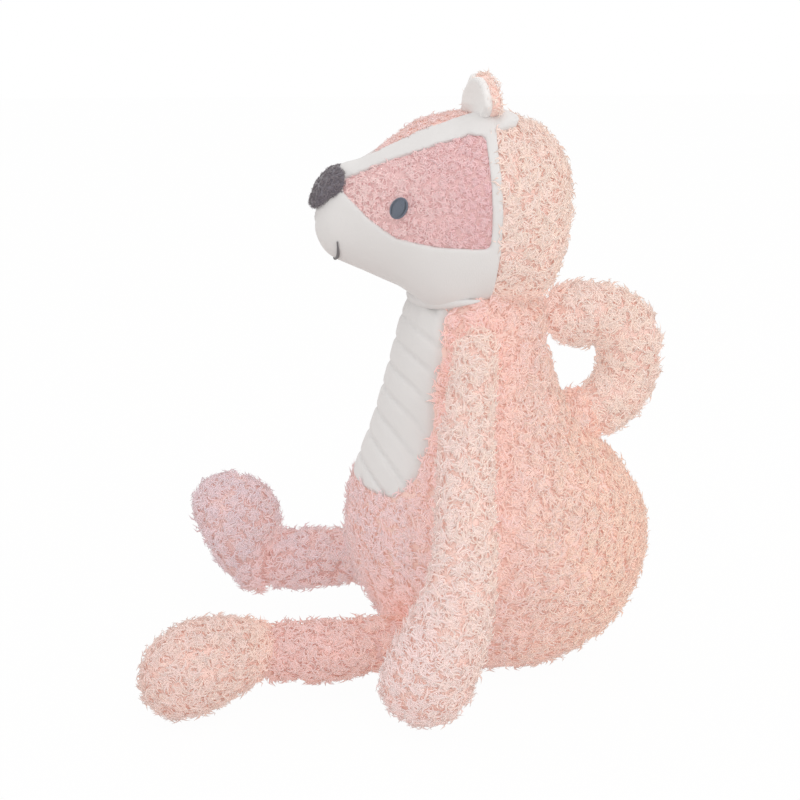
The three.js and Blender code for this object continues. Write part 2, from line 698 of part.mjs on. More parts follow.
const tailInward = tailOutward.clone().multiplyScalar(-TAIL_ROOT_RADIUS * 2);
const tailOpening = toSolid(rod(new THREE.Vector3(), tailInward, OPENING_RADIUS));
const tailCover = toGeometry(tailSolid(0).subtract(tailSolid(-PILE_CLOTH)).subtract(tailOpening));
const tailFill = toGeometry(tailSolid(-PILE_CLOTH - CLEAR));

// Materials
const cloth = (color, roughness = 0.95) => new THREE.MeshStandardMaterial({ color, roughness, metalness: 0 });
const pinkPile = cloth(0xf1cdc3);
const rosePile = cloth(0xe9b6b1);
const whiteVelour = cloth(0xf3f1ef, 0.85);
const stuffing = cloth(0xfafafa, 1);
const darkFelt = cloth(0x5c5862);
const eyeThread = cloth(0x4b5468, 0.7);
const mouthYarn = cloth(0x4a4850, 0.8);

function mesh(name, geometry, material) {
  const piece = new THREE.Mesh(geometry, material);
  piece.name = name;
  return piece;
}

const group = new THREE.Group();
group.add(mesh("torso_cover", torsoCover, pinkPile));
group.add(mesh("belly_panel", bellyPanel, whiteVelour));
group.add(mesh("torso_fill", torsoFill, stuffing));

group.add(mesh("head_fill", headFill, stuffing));
group.add(mesh("head_back_cover", headBackCover, pinkPile));
group.add(mesh("forehead_strip", foreheadStrip, pinkPile));
group.add(mesh("left_face_panel", leftFace, whiteVelour));
group.add(mesh("right_face_panel", mirrored(leftFace), whiteVelour));
group.add(mesh("left_eye_patch", leftPatch, rosePile));
group.add(mesh("right_eye_patch", mirrored(leftPatch), rosePile));
group.add(mesh("nose", nose, darkFelt));
group.add(mesh("left_eye", leftEye, eyeThread));
group.add(mesh("right_eye", mirrored(leftEye), eyeThread));
group.add(mesh("mouth_thread", mouth, mouthYarn));

// Ears stand on the head at the edges of the forehead strip
for (const [side, name] of [[1, "left"], [-1, "right"]]) {
  const place = HEAD_BACK - EAR_FORWARD;
  let turn = 0;
  for (let i = 0; i < 20; i += 1) {
    turn += (EAR_SPACING / 2 - headPoint(place, turn).x) / (HEAD_WIDTH / 2);
  }
  const seat = headPoint(place, turn);
  const normal = headNormal(place, turn);
  const tilt = Math.atan2(normal.x * Math.cos(deg(EAR_YAW)) + normal.y * Math.sin(deg(EAR_YAW)), normal.z);
  const ear = new THREE.Group();
  const lift = earRoll + CLEAR;
  ear.position.set((seat.x + normal.x * lift) * side, seat.y + normal.y * lift, seat.z + normal.z * lift);
  ear.rotation.set(0, tilt * side, deg(EAR_YAW) * side, "ZYX");
  ear.add(mesh(`${name}_ear_back`, side > 0 ? earBack() : mirrored(earBack()), pinkPile));
  ear.add(mesh(`${name}_ear_lining`, side > 0 ? earLining : mirrored(earLining), whiteVelour));
  group.add(ear);
}

// Arms hang straight down beside the torso, with the hands turned forward
for (const [side, name] of [[1, "left"], [-1, "right"]]) {
  const arm = new THREE.Group();
  arm.position.set(shoulderFace * side, SHOULDER_SETBACK, shoulderHeight);
  arm.add(mesh(`${name}_arm_cover`, side > 0 ? armCover : mirrored(armCover), pinkPile));
  arm.add(mesh(`${name}_arm_fill`, side > 0 ? armFill : mirrored(armFill), stuffing));
  group.add(arm);
}

// Legs point forward: the left foot lies along its leg, the right foot stands up
for (const [side, name] of [[1, "left"], [-1, "right"]]) {
  const seat = torsoPoint(HIP_HEIGHT, deg(HIP_ANGLE));
  const normal = torsoNormal(HIP_HEIGHT, deg(HIP_ANGLE));
  const hip = seat.clone().addScaledVector(normal, HIP_RADIUS - HIP_SINK);
  const leg = new THREE.Group();
  leg.position.set(hip.x * side, hip.y, hip.z);
  if (side > 0) {
    const reach = LEG_LENGTH + 0.75 * footSpan * Math.cos(deg(LEFT_FOOT_TURN));
    const drop = Math.asin((hip.z - FOOT_RADIUS - FOOT_ABOVE_FLOOR) / reach);
    leg.rotation.set(drop, 0, deg(LEFT_SPLAY), "ZYX");
  }
  const [legCover, legFill] = legPieces(side > 0 ? LEFT_FOOT_TURN : 0);
  leg.add(mesh(`${name}_leg_cover`, legCover, pinkPile));
  leg.add(mesh(`${name}_leg_fill`, legFill, stuffing));
  const foot = new THREE.Group();
  foot.position.set(0, -LEG_LENGTH, 0);
  foot.rotation.set(side > 0 ? 0 : -deg(FOOT_LIFT), 0, side > 0 ? deg(LEFT_FOOT_TURN) : 0, "ZYX");
  const back = new THREE.Vector3(0, 1, 0).applyQuaternion(foot.quaternion.clone().invert());
  const [footCover, footFill] = footPieces(back);
  foot.add(mesh(`${name}_foot_cover`, footCover, pinkPile));
  foot.add(mesh(`${name}_foot_fill`, footFill, stuffing));
  leg.add(foot);
  group.add(leg);
}

// The tail stands on the back
const tail = new THREE.Group();
tail.position.copy(tailRoot);
tail.add(mesh("tail_cover", tailCover, pinkPile));
tail.add(mesh("tail_fill", tailFill, stuffing));
group.add(tail);

export default group;
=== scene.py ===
import math

import bmesh
import bpy
from mathutils import Matrix, Vector
from mathutils.bvhtree import BVHTree


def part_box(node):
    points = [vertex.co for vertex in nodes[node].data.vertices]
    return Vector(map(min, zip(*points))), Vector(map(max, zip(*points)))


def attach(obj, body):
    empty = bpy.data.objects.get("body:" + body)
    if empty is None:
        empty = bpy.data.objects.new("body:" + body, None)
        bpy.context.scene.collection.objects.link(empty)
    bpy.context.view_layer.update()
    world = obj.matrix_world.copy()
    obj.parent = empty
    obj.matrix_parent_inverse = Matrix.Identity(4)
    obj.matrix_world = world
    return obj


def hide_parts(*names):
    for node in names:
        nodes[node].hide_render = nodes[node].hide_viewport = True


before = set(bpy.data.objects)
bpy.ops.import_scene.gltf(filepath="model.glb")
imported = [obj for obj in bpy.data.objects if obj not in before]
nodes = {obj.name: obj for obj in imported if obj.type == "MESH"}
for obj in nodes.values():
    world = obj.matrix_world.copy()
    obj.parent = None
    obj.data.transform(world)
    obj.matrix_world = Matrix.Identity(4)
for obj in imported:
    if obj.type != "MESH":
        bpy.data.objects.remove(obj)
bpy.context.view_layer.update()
mm = 0.001
sides = ("left", "right")
flips = {"left": 1, "right": -1}
mergeGap = 0.01 * mm
print("frame loaded:", len(nodes), "nodes")


class Wire:  # a node socket that takes part in plain sums
    def __init__(self, tree, socket=None):
        self.tree = tree
        self.socket = socket

    def node(self, kind, values=None, out=0, **settings):
        made = self.tree.nodes.new(kind)
        for key, value in settings.items():
            setattr(made, key, value)
        for key, value in (values or {}).items():
            if isinstance(value, Wire):
                value.into(made.inputs[key])
            else:
                made.inputs[key].default_value = value
        return Wire(self.tree, made.outputs[out] if made.outputs else None)

    def into(self, socket):
        self.tree.links.new(self.socket, socket)

    def also(self, name):  # another output of the same node
        return Wire(self.tree, self.socket.node.outputs[name])

    def sum(self, operation, first, second):
        return self.node("ShaderNodeMath", {0: first, 1: second}, operation=operation)

    def __add__(self, other):
        return self.sum("ADD", self, other)

    def __sub__(self, other):
        return self.sum("SUBTRACT", self, other)

    def __rsub__(self, other):
        return self.sum("SUBTRACT", other, self)

    def __mul__(self, other):
        return self.sum("MULTIPLY", self, other)

    __radd__ = __add__
    __rmul__ = __mul__


# Camera, floor and light
studio = {
    "cameraPlace": (0.5934, -0.0947, 0.2684), "azimuth": 85, "elevation": 15, "lens": 66.4, "sensor": 36,
    "floorSize": 8, "floorLevel": -2.5 * mm, "floorColor": (0.8, 0.79, 0.78, 1),
    "floorWhite": 0.97,  # share of plain white in the floor as the camera sees it
    "worldColor": (1, 0.987, 0.975, 1), "worldLevel": 1, "white": (1, 1, 1, 1),
    "lampPlace": (0.9, 0.45, 0.95), "lampTarget": (0, 0, 0.12), "lampSize": 1.2, "lampPower": 4,
}


def makeCamera():
    data = bpy.data.cameras.new("camera")
    data.lens = studio["lens"]
    data.sensor_width = studio["sensor"]
    camera = bpy.data.objects.new("camera", data)
    bpy.context.scene.collection.objects.link(camera)
    a, e = math.radians(studio["azimuth"]), math.radians(studio["elevation"])
    back = Vector((math.sin(a) * math.cos(e), -math.cos(a) * math.cos(e), math.sin(e)))
    camera.location = studio["cameraPlace"]
    camera.rotation_mode = "QUATERNION"
    camera.rotation_quaternion = (-back).to_track_quat("-Z", "Y")
    bpy.context.scene.camera = camera


def makeLamp():
    data = bpy.data.lights.new("key", "AREA")
    data.shape = "DISK"
    data.size = studio["lampSize"]
    data.energy = studio["lampPower"]
    lamp = bpy.data.objects.new("key", data)
    bpy.context.scene.collection.objects.link(lamp)
    aim = Vector(studio["lampTarget"]) - Vector(studio["lampPlace"])
    lamp.location = studio["lampPlace"]
    lamp.rotation_mode = "QUATERNION"
    lamp.rotation_quaternion = aim.to_track_quat("-Z", "Y")


def seenDirectly(w):  # the rays that show the backdrop itself
    path = w.node("ShaderNodeLightPath")
    shown = w.sum("MAXIMUM", path, path.also("Is Glossy Ray"))
    return w.sum("MAXIMUM", shown, path.also("Is Transmission Ray"))


def makeWorld():
    world = bpy.data.worlds.new("studio")
    world.use_nodes = True
    world.node_tree.nodes.clear()
    bpy.context.scene.world = world
    w = Wire(world.node_tree)
    light = w.node("ShaderNodeBackground", {"Color": studio["worldColor"], "Strength": studio["worldLevel"]})
    white = w.node("ShaderNodeBackground", {"Color": studio["white"], "Strength": 1})
    both = w.node("ShaderNodeMixShader", {0: seenDirectly(w), 1: light, 2: white})
    w.node("ShaderNodeOutputWorld", {"Surface": both})


def makeFloor():
    bm = bmesh.new()
    bmesh.ops.create_grid(bm, x_segments=1, y_segments=1, size=studio["floorSize"] / 2)
    bmesh.ops.translate(bm, verts=bm.verts, vec=(0, 0, studio["floorLevel"]))
    material, w = blankMaterial("pale_floor")
    matt = w.node("ShaderNodeBsdfDiffuse", {"Color": studio["floorColor"]})
    glow = w.node("ShaderNodeEmission", {"Color": studio["white"], "Strength": 1})
    lifted = w.node("ShaderNodeMixShader", {0: seenDirectly(w) * studio["floorWhite"], 1: matt, 2: glow})
    w.node("ShaderNodeOutputMaterial", {"Surface": lifted})
    floor = meshObject("floor", bm, material)


def meshObject(name, bm, material=None):  # takes the bmesh over
    data = bpy.data.meshes.new(name)
    bm.to_mesh(data)
    bm.free()
    return dressed(name, data, material)


def dressed(name, data, material=None):
    data.name = name
    for face in data.polygons:
        face.use_smooth = True
    if material:
        data.materials.clear()
        data.materials.append(material)
    piece = bpy.data.objects.new(name, data)
    bpy.context.scene.collection.objects.link(piece)
    return piece


def settled(piece, *modifiers):  # the same piece with these modifiers applied
    for kind, values in modifiers:
        made = piece.modifiers.new(kind, kind)
        for key, value in values.items():
            setattr(made, key, value)
    graph = bpy.context.evaluated_depsgraph_get()
    data = bpy.data.meshes.new_from_object(piece.evaluated_get(graph))
    piece.modifiers.clear()
    old = piece.data
    piece.data = data
    data.name = old.name
    bpy.data.meshes.remove(old)
    for face in data.polygons:
        face.use_smooth = True
    return piece


# Cloth and thread finishes; the pile's glow is painted fill light
cloth = {"roughness": 0.95, "specular": 0.2, "sheenRoughness": 0.5, "sheenTint": (1, 1, 1, 1)}
pileSheenAndGlow = {"sheen": 0.5, "sheenTint": (1, 0.92, 0.88, 1), "glow": 0.56}
weave = {
    "detail": 4, "breakUp": 0.65, "fineShare": 0.55, "broader": 22, "broadDetail": 2, "broadShare": 0.45,
    "bump": 0.6,
}
strandRoot = 0.3  # height of the root tone on a strand's map


def blankMaterial(name):
    material = bpy.data.materials.new(name)
    material.use_nodes = True
    material.node_tree.nodes.clear()
    return material, Wire(material.node_tree)


def clothMaterial(name, sheen, sheenTint=cloth["sheenTint"], roughness=cloth["roughness"]):
    material, w = blankMaterial(name)
    shader = w.node("ShaderNodeBsdfPrincipled", {
        "Roughness": roughness, "Specular IOR Level": cloth["specular"],
        "Sheen Weight": sheen, "Sheen Roughness": cloth["sheenRoughness"], "Sheen Tint": sheenTint,
    })
    w.node("ShaderNodeOutputMaterial", {"Surface": shader})
    return material, w, shader.socket.node.inputs


def colorMix(w, share, first, second):
    values = {0: share, 6: first, 7: second}
    return w.node("ShaderNodeMix", values, 2, data_type="RGBA")


# Strand colour: across the map from the pink of the belly to the peach of the back, painted as cooler shade
# on the front and warmer light on the back; up the map from the painted shade of creases through the root to
# the tip
def pileMaterial(name, tones, tint=(1, 1, 1)):
    material, w, sockets = clothMaterial(name, pileSheenAndGlow["sheen"], pileSheenAndGlow["sheenTint"])
    # painted fill light: the pile glows so that the shaded gaps between its strands stay light
    sockets["Emission Strength"].default_value = pileSheenAndGlow["glow"]
    sockets["Diffuse Roughness"].default_value = 1
    place = w.node("ShaderNodeSeparateXYZ", {0: w.node("ShaderNodeUVMap", uv_map="OFBake")})
    hue, height = place, place.also("Y")
    fromCrease = height * (1 / strandRoot)
    fromRoot = (height - strandRoot) * (1 / (1 - strandRoot))

    def tinted(color):
        return (*(part * share for part, share in zip(color, tint)), 1)

    def ramp(levels):
        return colorMix(w, fromRoot, colorMix(w, fromCrease, levels[0], levels[1]), levels[2])

    across = [colorMix(w, hue, tinted(pink), tinted(peach)) for pink, peach in tones["color"]]
    ramp(across).into(sockets["Base Color"])
    # the painted fill light is coloured, and stronger at the roots and in the creases than at the tips
    ramp([tinted(glow) for glow in tones["glow"]]).into(sockets["Emission Color"])
    return material


def wovenMaterial(name, dark, pale, grain, depth, sheen, roughness=cloth["roughness"]):
    material, w, sockets = clothMaterial(name, sheen, roughness=roughness)
    place = w.node("ShaderNodeTexCoord", out="Object")
    fine = w.node("ShaderNodeTexNoise", {
        "Vector": place, "Scale": grain, "Detail": weave["detail"], "Roughness": weave["breakUp"],
    })
    broad = w.node("ShaderNodeTexNoise", {
        "Vector": place, "Scale": grain / weave["broader"], "Detail": weave["broadDetail"],
    })
    share = fine * weave["fineShare"] + broad * weave["broadShare"]
    colorMix(w, share, (*dark, 1), (*pale, 1)).into(sockets["Base Color"])
    bump = w.node("ShaderNodeBump", {"Height": fine, "Strength": weave["bump"], "Distance": depth})
    bump.into(sockets["Normal"])
    return material


bpy.context.scene.view_settings.view_transform = "Standard"
makeCamera()
makeWorld()
makeFloor()
makeLamp()

# the rows are painted crease shade, root and tip; each pair of colours is pink and peach; the glow rows are
# painted fill light, stronger at the roots and in the creases than at the tips
bodyTones = {
    "color": (
        ((0.57, 0.356, 0.395), (0.637, 0.367, 0.268)),
        ((0.555, 0.40, 0.45), (0.618, 0.416, 0.315)),
        ((0.565, 0.465, 0.535), (0.622, 0.515, 0.41)),
    ),
    "glow": ((0.82, 0.41, 0.31), (0.835, 0.557, 0.475), (0.43, 0.38, 0.355)),
}
paleTones = {
    "color": (
        ((0.605, 0.435, 0.45), (0.635, 0.455, 0.37)),
        ((0.60, 0.475, 0.495), (0.64, 0.50, 0.415)),
        ((0.60, 0.515, 0.535), (0.635, 0.54, 0.455)),
    ),
    "glow": ((0.80, 0.51, 0.44), (0.81, 0.595, 0.53), (0.44, 0.405, 0.38)),
}
roseTones = {
    "color": (
        ((0.55, 0.34, 0.36), (0.61, 0.43, 0.42)),
        ((0.59, 0.37, 0.40), (0.66, 0.505, 0.49)),
        ((0.62, 0.42, 0.46), (0.70, 0.61, 0.575)),
    ),
    "glow": ((0.5, 0.28, 0.28), (0.68, 0.42, 0.42), (0.32, 0.25, 0.26)),
}
noseTones = {
    "color": (
        ((0.08, 0.07, 0.08), (0.11, 0.09, 0.105)),
        ((0.10, 0.085, 0.10), (0.13, 0.11, 0.125)),
        ((0.21, 0.185, 0.215), (0.32, 0.29, 0.315)),
    ),
    "glow": ((0.06, 0.05, 0.06),) * 3,
}
pinkPile = pileMaterial("pink_pile", bodyTones)
# painted shade: a darker copy of the body pile for the near leg
shadedLegPile = pileMaterial("leg_pile", bodyTones, (0.94, 0.89, 0.85))
# painted shade: a cooler copy of the body pile for the far leg and the far foot
coolShadedPile = pileMaterial("lilac_pile", bodyTones, (0.92, 0.973, 1.015))
footPile = pileMaterial("foot_pile", paleTones, (0.955, 0.918, 0.89))
palePile = pileMaterial("pale_pile", paleTones)
rosePile = pileMaterial("rose_pile", roseTones)
nosePile = pileMaterial("nose_nap", noseTones)

# woven ground of the pile, velour, and threads, each from its dark to its pale tone
pileGround = {"grain": 900, "depth": 0.3 * mm, "sheen": 0.2}
shortVelour = {"grain": 1700, "depth": 0.18 * mm, "sheen": 0.3}
noseWeave = {"grain": 900, "depth": 0.35 * mm, "sheen": 0.5}
eyeSatin = {"grain": 2200, "depth": 0.1 * mm, "sheen": 0.1}
yarn = {"grain": 2000, "depth": 0.1 * mm, "sheen": 0.2}
backing = wovenMaterial("pile_backing", (0.90, 0.62, 0.55), (0.94, 0.72, 0.66), **pileGround)
roseBacking = wovenMaterial("rose_backing", (0.76, 0.48, 0.48), (0.84, 0.58, 0.57), **pileGround)
# painted shade: a darker copy of the pile backing for the legs and the far foot
shadedBacking = wovenMaterial("leg_backing", (0.83, 0.58, 0.56), (0.89, 0.67, 0.65), **pileGround)
velour = wovenMaterial("white_velour", (0.68, 0.665, 0.66), (0.74, 0.725, 0.72), **shortVelour)
# painted light: a brighter copy of the white velour for the ear linings
litEarVelour = wovenMaterial("ear_velour", (0.77, 0.75, 0.74), (0.84, 0.82, 0.81), **shortVelour)
eyeThread = wovenMaterial("eye_thread", (0.09, 0.105, 0.14), (0.2, 0.225, 0.27), **eyeSatin, roughness=0.55)
eyeEdge = wovenMaterial("eye_edge", (0.03, 0.03, 0.045), (0.06, 0.055, 0.08), **eyeSatin, roughness=0.6)
mouthYarn = wovenMaterial("mouth_yarn", (0.12, 0.115, 0.12), (0.2, 0.19, 0.2), **yarn, roughness=0.8)
noseCloth = wovenMaterial("nose_cloth", (0.09, 0.08, 0.1), (0.22, 0.2, 0.23), **noseWeave)
print("studio and finishes ready")


# Shapes taken from the frame
def mergedNode(node):
    bm = bmesh.new()
    bm.from_mesh(nodes[node].data)
    bmesh.ops.remove_doubles(bm, verts=bm.verts, dist=mergeGap)
    return bm


def nodeTree(name):
    data = nodes[name].data
    return BVHTree.FromPolygons([v.co for v in data.vertices], [p.vertices for p in data.polygons])


def treeOf(piece):
    bm = bmesh.new()
    bm.from_mesh(piece.data)
    tree = BVHTree.FromBMesh(bm)
    bm.free()
    return tree


def swell(piece, grow):  # out along the normals
    bm = bmesh.new()
    bm.from_mesh(piece.data)
    bm.normal_update()
    for vert in bm.verts:
        vert.co += vert.normal * grow
    bm.to_mesh(piece.data)
    bm.free()


quadLimits = {"angle_face_threshold": math.radians(50), "angle_shape_threshold": math.radians(70)}


# Smooth form of a filling, grown outwards
def stuffedForm(name, node, grow, levels, material):
    bm = mergedNode(node)
    bmesh.ops.join_triangles(bm, faces=bm.faces, **quadLimits)
    piece = settled(meshObject(name, bm, material), ("SUBSURF", {"levels": levels, "render_levels": levels}))
    swell(piece, grow)
    return piece


def roundedCopy(name, node, material, voxel, soften, grow):
    piece = settled(
        meshObject(name, mergedNode(node), material),
        ("REMESH", {"mode": "VOXEL", "voxel_size": voxel}),
        ("SMOOTH", {"factor": 0.5, "iterations": soften}),
    )
    swell(piece, grow)
    return piece


def smoothStep(share):
    share = min(max(share, 0), 1)
    return share * share * (3 - 2 * share)


def nudge(piece, place, reach, move):  # a soft push of one region, in millimetres
    bm = bmesh.new()
    bm.from_mesh(piece.data)
    for vert in bm.verts:
        share = smoothStep(1 - (vert.co - Vector(place) * mm).length / (reach * mm))
        vert.co += Vector(move) * mm * share
    bm.to_mesh(piece.data)
    bm.free()


def flipped(point, flip):
    return (point[0] * flip, *point[1:])


def nudgeAll(piece, pushes, flip=1):  # pushes are written for the left side: place, reach and move
    for place, reach, move in pushes:
        nudge(piece, flipped(place, flip), reach, flipped(move, flip))


# Pile: curved strands that stand all over a backing; angles in degrees, bend and wave as least and span
strand = {
    "length": 6.2 * mm, "root": 0.25 * mm, "flatten": (2, 0.55, 1), "shapes": 12, "rows": (1, 1.1, 0.8),
    "tip": 0.02, "rise": 77, "wispRise": 62, "bend": (2, 12), "wave": (32, 14),
    "mapLeft": 0.01, "mapWidth": 0.012, "mapTop": 0.98,
}


# a strand leaves the cloth at a slant, bends over and curls back, with a sideways wave
def strandShape(index):
    bm = bmesh.new()
    rows = strand["rows"]
    step = strand["length"] / len(rows)
    wisp = index == strand["shapes"] - 1
    leastBend, bendSpan = strand["bend"]
    leastWave, waveSpan = strand["wave"]
    bend = math.radians(leastBend + bendSpan * (index % 5) / 4)
    wave = math.radians((leastWave + waveSpan * (index % 3)) * (1 if index % 2 else -1))
    pitch = math.radians(strand["wispRise"] if wisp else strand["rise"])
    yaw = -wave / 2
    row = bm.verts.layers.int.new("row")
    bmesh.ops.create_circle(bm, cap_ends=True, segments=3, radius=strand["root"])
    bmesh.ops.scale(bm, verts=bm.verts, vec=strand["flatten"])
    bm.faces.ensure_lookup_table()
    top = bm.faces[0]
    for number in range(len(rows)):
        level = math.sin(pitch)
        heading = Vector((level * math.cos(yaw), level * math.sin(yaw), math.cos(pitch)))
        if number:
            turn = top.normal.rotation_difference(heading)
            top = bmesh.ops.extrude_discrete_faces(bm, faces=[top])["faces"][0]
        else:
            turn = heading.to_track_quat("Z", "Y")
            top = liftedRing(bm, top)
        middle = top.calc_center_median()
        last = number == len(rows) - 1
        shrink = strand["tip"] if last else rows[number + 1] / rows[number]
        for vert in top.verts:
            vert[row] = number + 1
            vert.co = middle + turn @ ((vert.co - middle) * shrink) + heading * step
        top.normal_update()
        if last:
            bmesh.ops.pointmerge(bm, verts=list(top.verts), merge_co=top.calc_center_median())
        pitch += bend
        yaw += wave if number != 1 or index % 3 else -wave
    bmesh.ops.recalc_face_normals(bm, faces=bm.faces)
    layer = bm.loops.layers.uv.new("OFBake")
    for face in bm.faces:
        for number, loop in enumerate(face.loops):
            across = strand["mapLeft"] + strand["mapWidth"] * (number in (1, 2))
            height = strandRoot + (strand["mapTop"] - strandRoot) * loop.vert[row] / len(rows)
            loop[layer].uv = (across, height)
    return meshObject(f"strand_{index}", bm)


def liftedRing(bm, face):  # the first ring, with the root face kept closed
    made = bmesh.ops.extrude_face_region(bm, geom=[face], use_keep_orig=True)["geom"]
    return next(part for part in made if isinstance(part, bmesh.types.BMFace))


strandBox = bpy.data.collections.new("strand_shapes")
for index in range(strand["shapes"]):
    shape = strandShape(index)
    bpy.context.scene.collection.objects.unlink(shape)
    strandBox.objects.link(shape)

pileSettings = {
    "size": 1, "sizes": (0.7, 1.2), "edgeSize": 0.5, "perSquareMm": 1.15, "apart": 0.45 * mm, "seed": 1,
    "lock": 9 * mm, "lockDetail": 1.5, "sway": 0.5, "upright": 1, "comb": (0, 0, -0.15),
    "curl": 5.5 * mm, "curlHeight": 1 * mm, "curlFall": 1.7,
    "turnScale": 0.7, "turnSwing": 5, "turnChance": 0.7,
    "hue": 0.2, "hueSpan": 0.16, "huePatch": 14 * mm, "patchShare": 0.5, "hueChance": 0.2, "hueMost": 0.96,
    # painted light lifts or lowers every strand's tone; neighbour shade and crease shade are painted shade
    "bright": 0, "deepReach": 14 * mm, "neighbourShadeShare": 0.85, "creaseShadeShare": 0.35,
    "spread": 0, "rounds": 0, "below": 3 * mm, "above": 9 * mm,  # how a cover is found from its skin
}
drawSeeds = {"turn": 3, "size": 5, "shape": 7, "hue": 11}
strandLayers = ("hue", "nap", "row", "deep", "crease")


def pileTree(pile):
    tree = bpy.data.node_groups.new("pile", "GeometryNodeTree")
    tree.interface.new_socket("Skin", in_out="INPUT", socket_type="NodeSocketGeometry")
    tree.interface.new_socket("Pile", in_out="OUTPUT", socket_type="NodeSocketGeometry")
    w = Wire(tree)

    def vector(operation, first, second):
        return w.node("ShaderNodeVectorMath", {0: first, 1: second}, operation=operation)

    def scaled(first, amount):
        return w.node("ShaderNodeVectorMath", {0: first, "Scale": amount}, operation="SCALE")

    def chance(low, high, draw):
        values = {2: low, 3: high, "Seed": drawSeeds[draw]}
        return w.node("FunctionNodeRandomValue", values, 1, data_type="FLOAT")

    def layer(name, kind="FLOAT"):
        return w.node("GeometryNodeInputNamedAttribute", {"Name": name}, data_type=kind)

    def stored(geometry, name, value, kind="FLOAT", domain="INSTANCE"):
        values = {"Geometry": geometry, "Name": name, "Value": value}
        return w.node("GeometryNodeStoreNamedAttribute", values, data_type=kind, domain=domain)

    nap = layer("nap")
    points = w.node("GeometryNodeDistributePointsOnFaces", {
        "Mesh": w.node("NodeGroupInput"), "Distance Min": pile["apart"],
        "Density Max": pile["perSquareMm"] / mm**2, "Density Factor": w.sum("GREATER_THAN", nap, 0.5),
        "Seed": pile["seed"],
    }, distribute_method="POISSON")
    normal = points.also("Normal")
    place = w.node("GeometryNodeInputPosition")
    swirl = w.node("ShaderNodeTexNoise", {
        "Vector": place, "Scale": 1 / pile["lock"], "Detail": pile["lockDetail"],
    }, 1)
    lean = vector("SUBTRACT", swirl, (0.5, 0.5, 0.5))
    flat = vector("SUBTRACT", lean, scaled(normal, vector("DOT_PRODUCT", lean, normal).also("Value")))
    fall = vector("ADD", scaled(flat, pile["sway"]), pile["comb"])
    stand = vector("ADD", scaled(normal, pile["upright"]), fall)

    # the strands of one curl lean towards its middle, which stands proud of the creases round it
    curl = w.node("ShaderNodeTexVoronoi", {"Vector": place, "Scale": 1 / pile["curl"]})
    crest = w.node("ShaderNodeClamp", {"Value": 1 - curl * curl * pile["curlFall"]})
    inward = vector("SUBTRACT", curl.also("Position"), place)
    turned = w.node("FunctionNodeAxesToRotation", {0: stand, 1: inward}, primary_axis="Z", secondary_axis="X")
    heading = w.node("ShaderNodeTexNoise", {
        "Vector": place, "Scale": pile["turnScale"] / pile["lock"], "Detail": 1,
    })
    angle = (heading - 0.5) * pile["turnSwing"] + chance(-pile["turnChance"], pile["turnChance"], "turn")
    spin = w.node("FunctionNodeAxisAngleToRotation", {"Axis": (0, 0, 1), "Angle": angle})
    turns = {"Rotation": turned, "Rotate By": spin}
    turned = w.node("FunctionNodeRotateRotation", turns, rotation_space="LOCAL")
    size = chance(*pile["sizes"], "size") * pile["size"] * (nap * (1 - pile["edgeSize"]) + pile["edgeSize"])
    lump = scaled(normal, crest * pile["curlHeight"])
    raised = w.node("GeometryNodeSetPosition", {"Geometry": points, "Offset": lump})
    shapes = w.node("GeometryNodeCollectionInfo", {
        "Collection": strandBox, "Separate Children": True, "Reset Children": True,
    })
    last = strand["shapes"] - 1
    pick = w.node("FunctionNodeRandomValue", {4: 0, 5: last, "Seed": drawSeeds["shape"]}, 2, data_type="INT")
    strands = w.node("GeometryNodeInstanceOnPoints", {
        "Points": raised, "Instance": shapes, "Pick Instance": True, "Instance Index": pick,
        "Rotation": turned, "Scale": size,
    })

    # hue follows the place from front to back, painted as cooler shade on the front and warmer light on the
    # back, with patches and single strands that differ
    back = w.node("ShaderNodeSeparateXYZ", {0: place}).also("Y")
    patches = w.node("ShaderNodeTexNoise", {"Vector": place, "Scale": 1 / pile["huePatch"], "Detail": 2})
    hue = back * (1 / pile["hueSpan"]) + pile["hue"] + patches * pile["patchShare"]
    hue = hue + chance(-pile["hueChance"], pile["hueChance"], "hue")
    hue = w.node("ShaderNodeClamp", {"Value": hue, "Min": 0, "Max": pile["hueMost"]})
    strands = stored(strands, "hue", hue)
    strands = stored(strands, "crease", 1 - crest)
    real = w.node("GeometryNodeRealizeInstances", {"Geometry": strands})

    # the map moves across by hue, down by the painted light shift, and further down towards the crease tone
    # as painted shade near neighbours and in the creases between curls
    shift = w.node("ShaderNodeCombineXYZ", {"X": layer("hue"), "Y": pile["bright"]})
    shadeDrop = w.sum("MAXIMUM", layer("deep") * pile["neighbourShadeShare"], layer("crease") * pile["creaseShadeShare"])
    lower = w.node("ShaderNodeCombineXYZ", {"X": 1, "Y": 1 - shadeDrop, "Z": 1})
    moved = vector("ADD", vector("MULTIPLY", layer("OFBake", "FLOAT_VECTOR"), lower), shift)
    w.node("NodeGroupOutput", {"Pile": stored(real, "OFBake", moved, "FLOAT2", "CORNER")})
    return tree
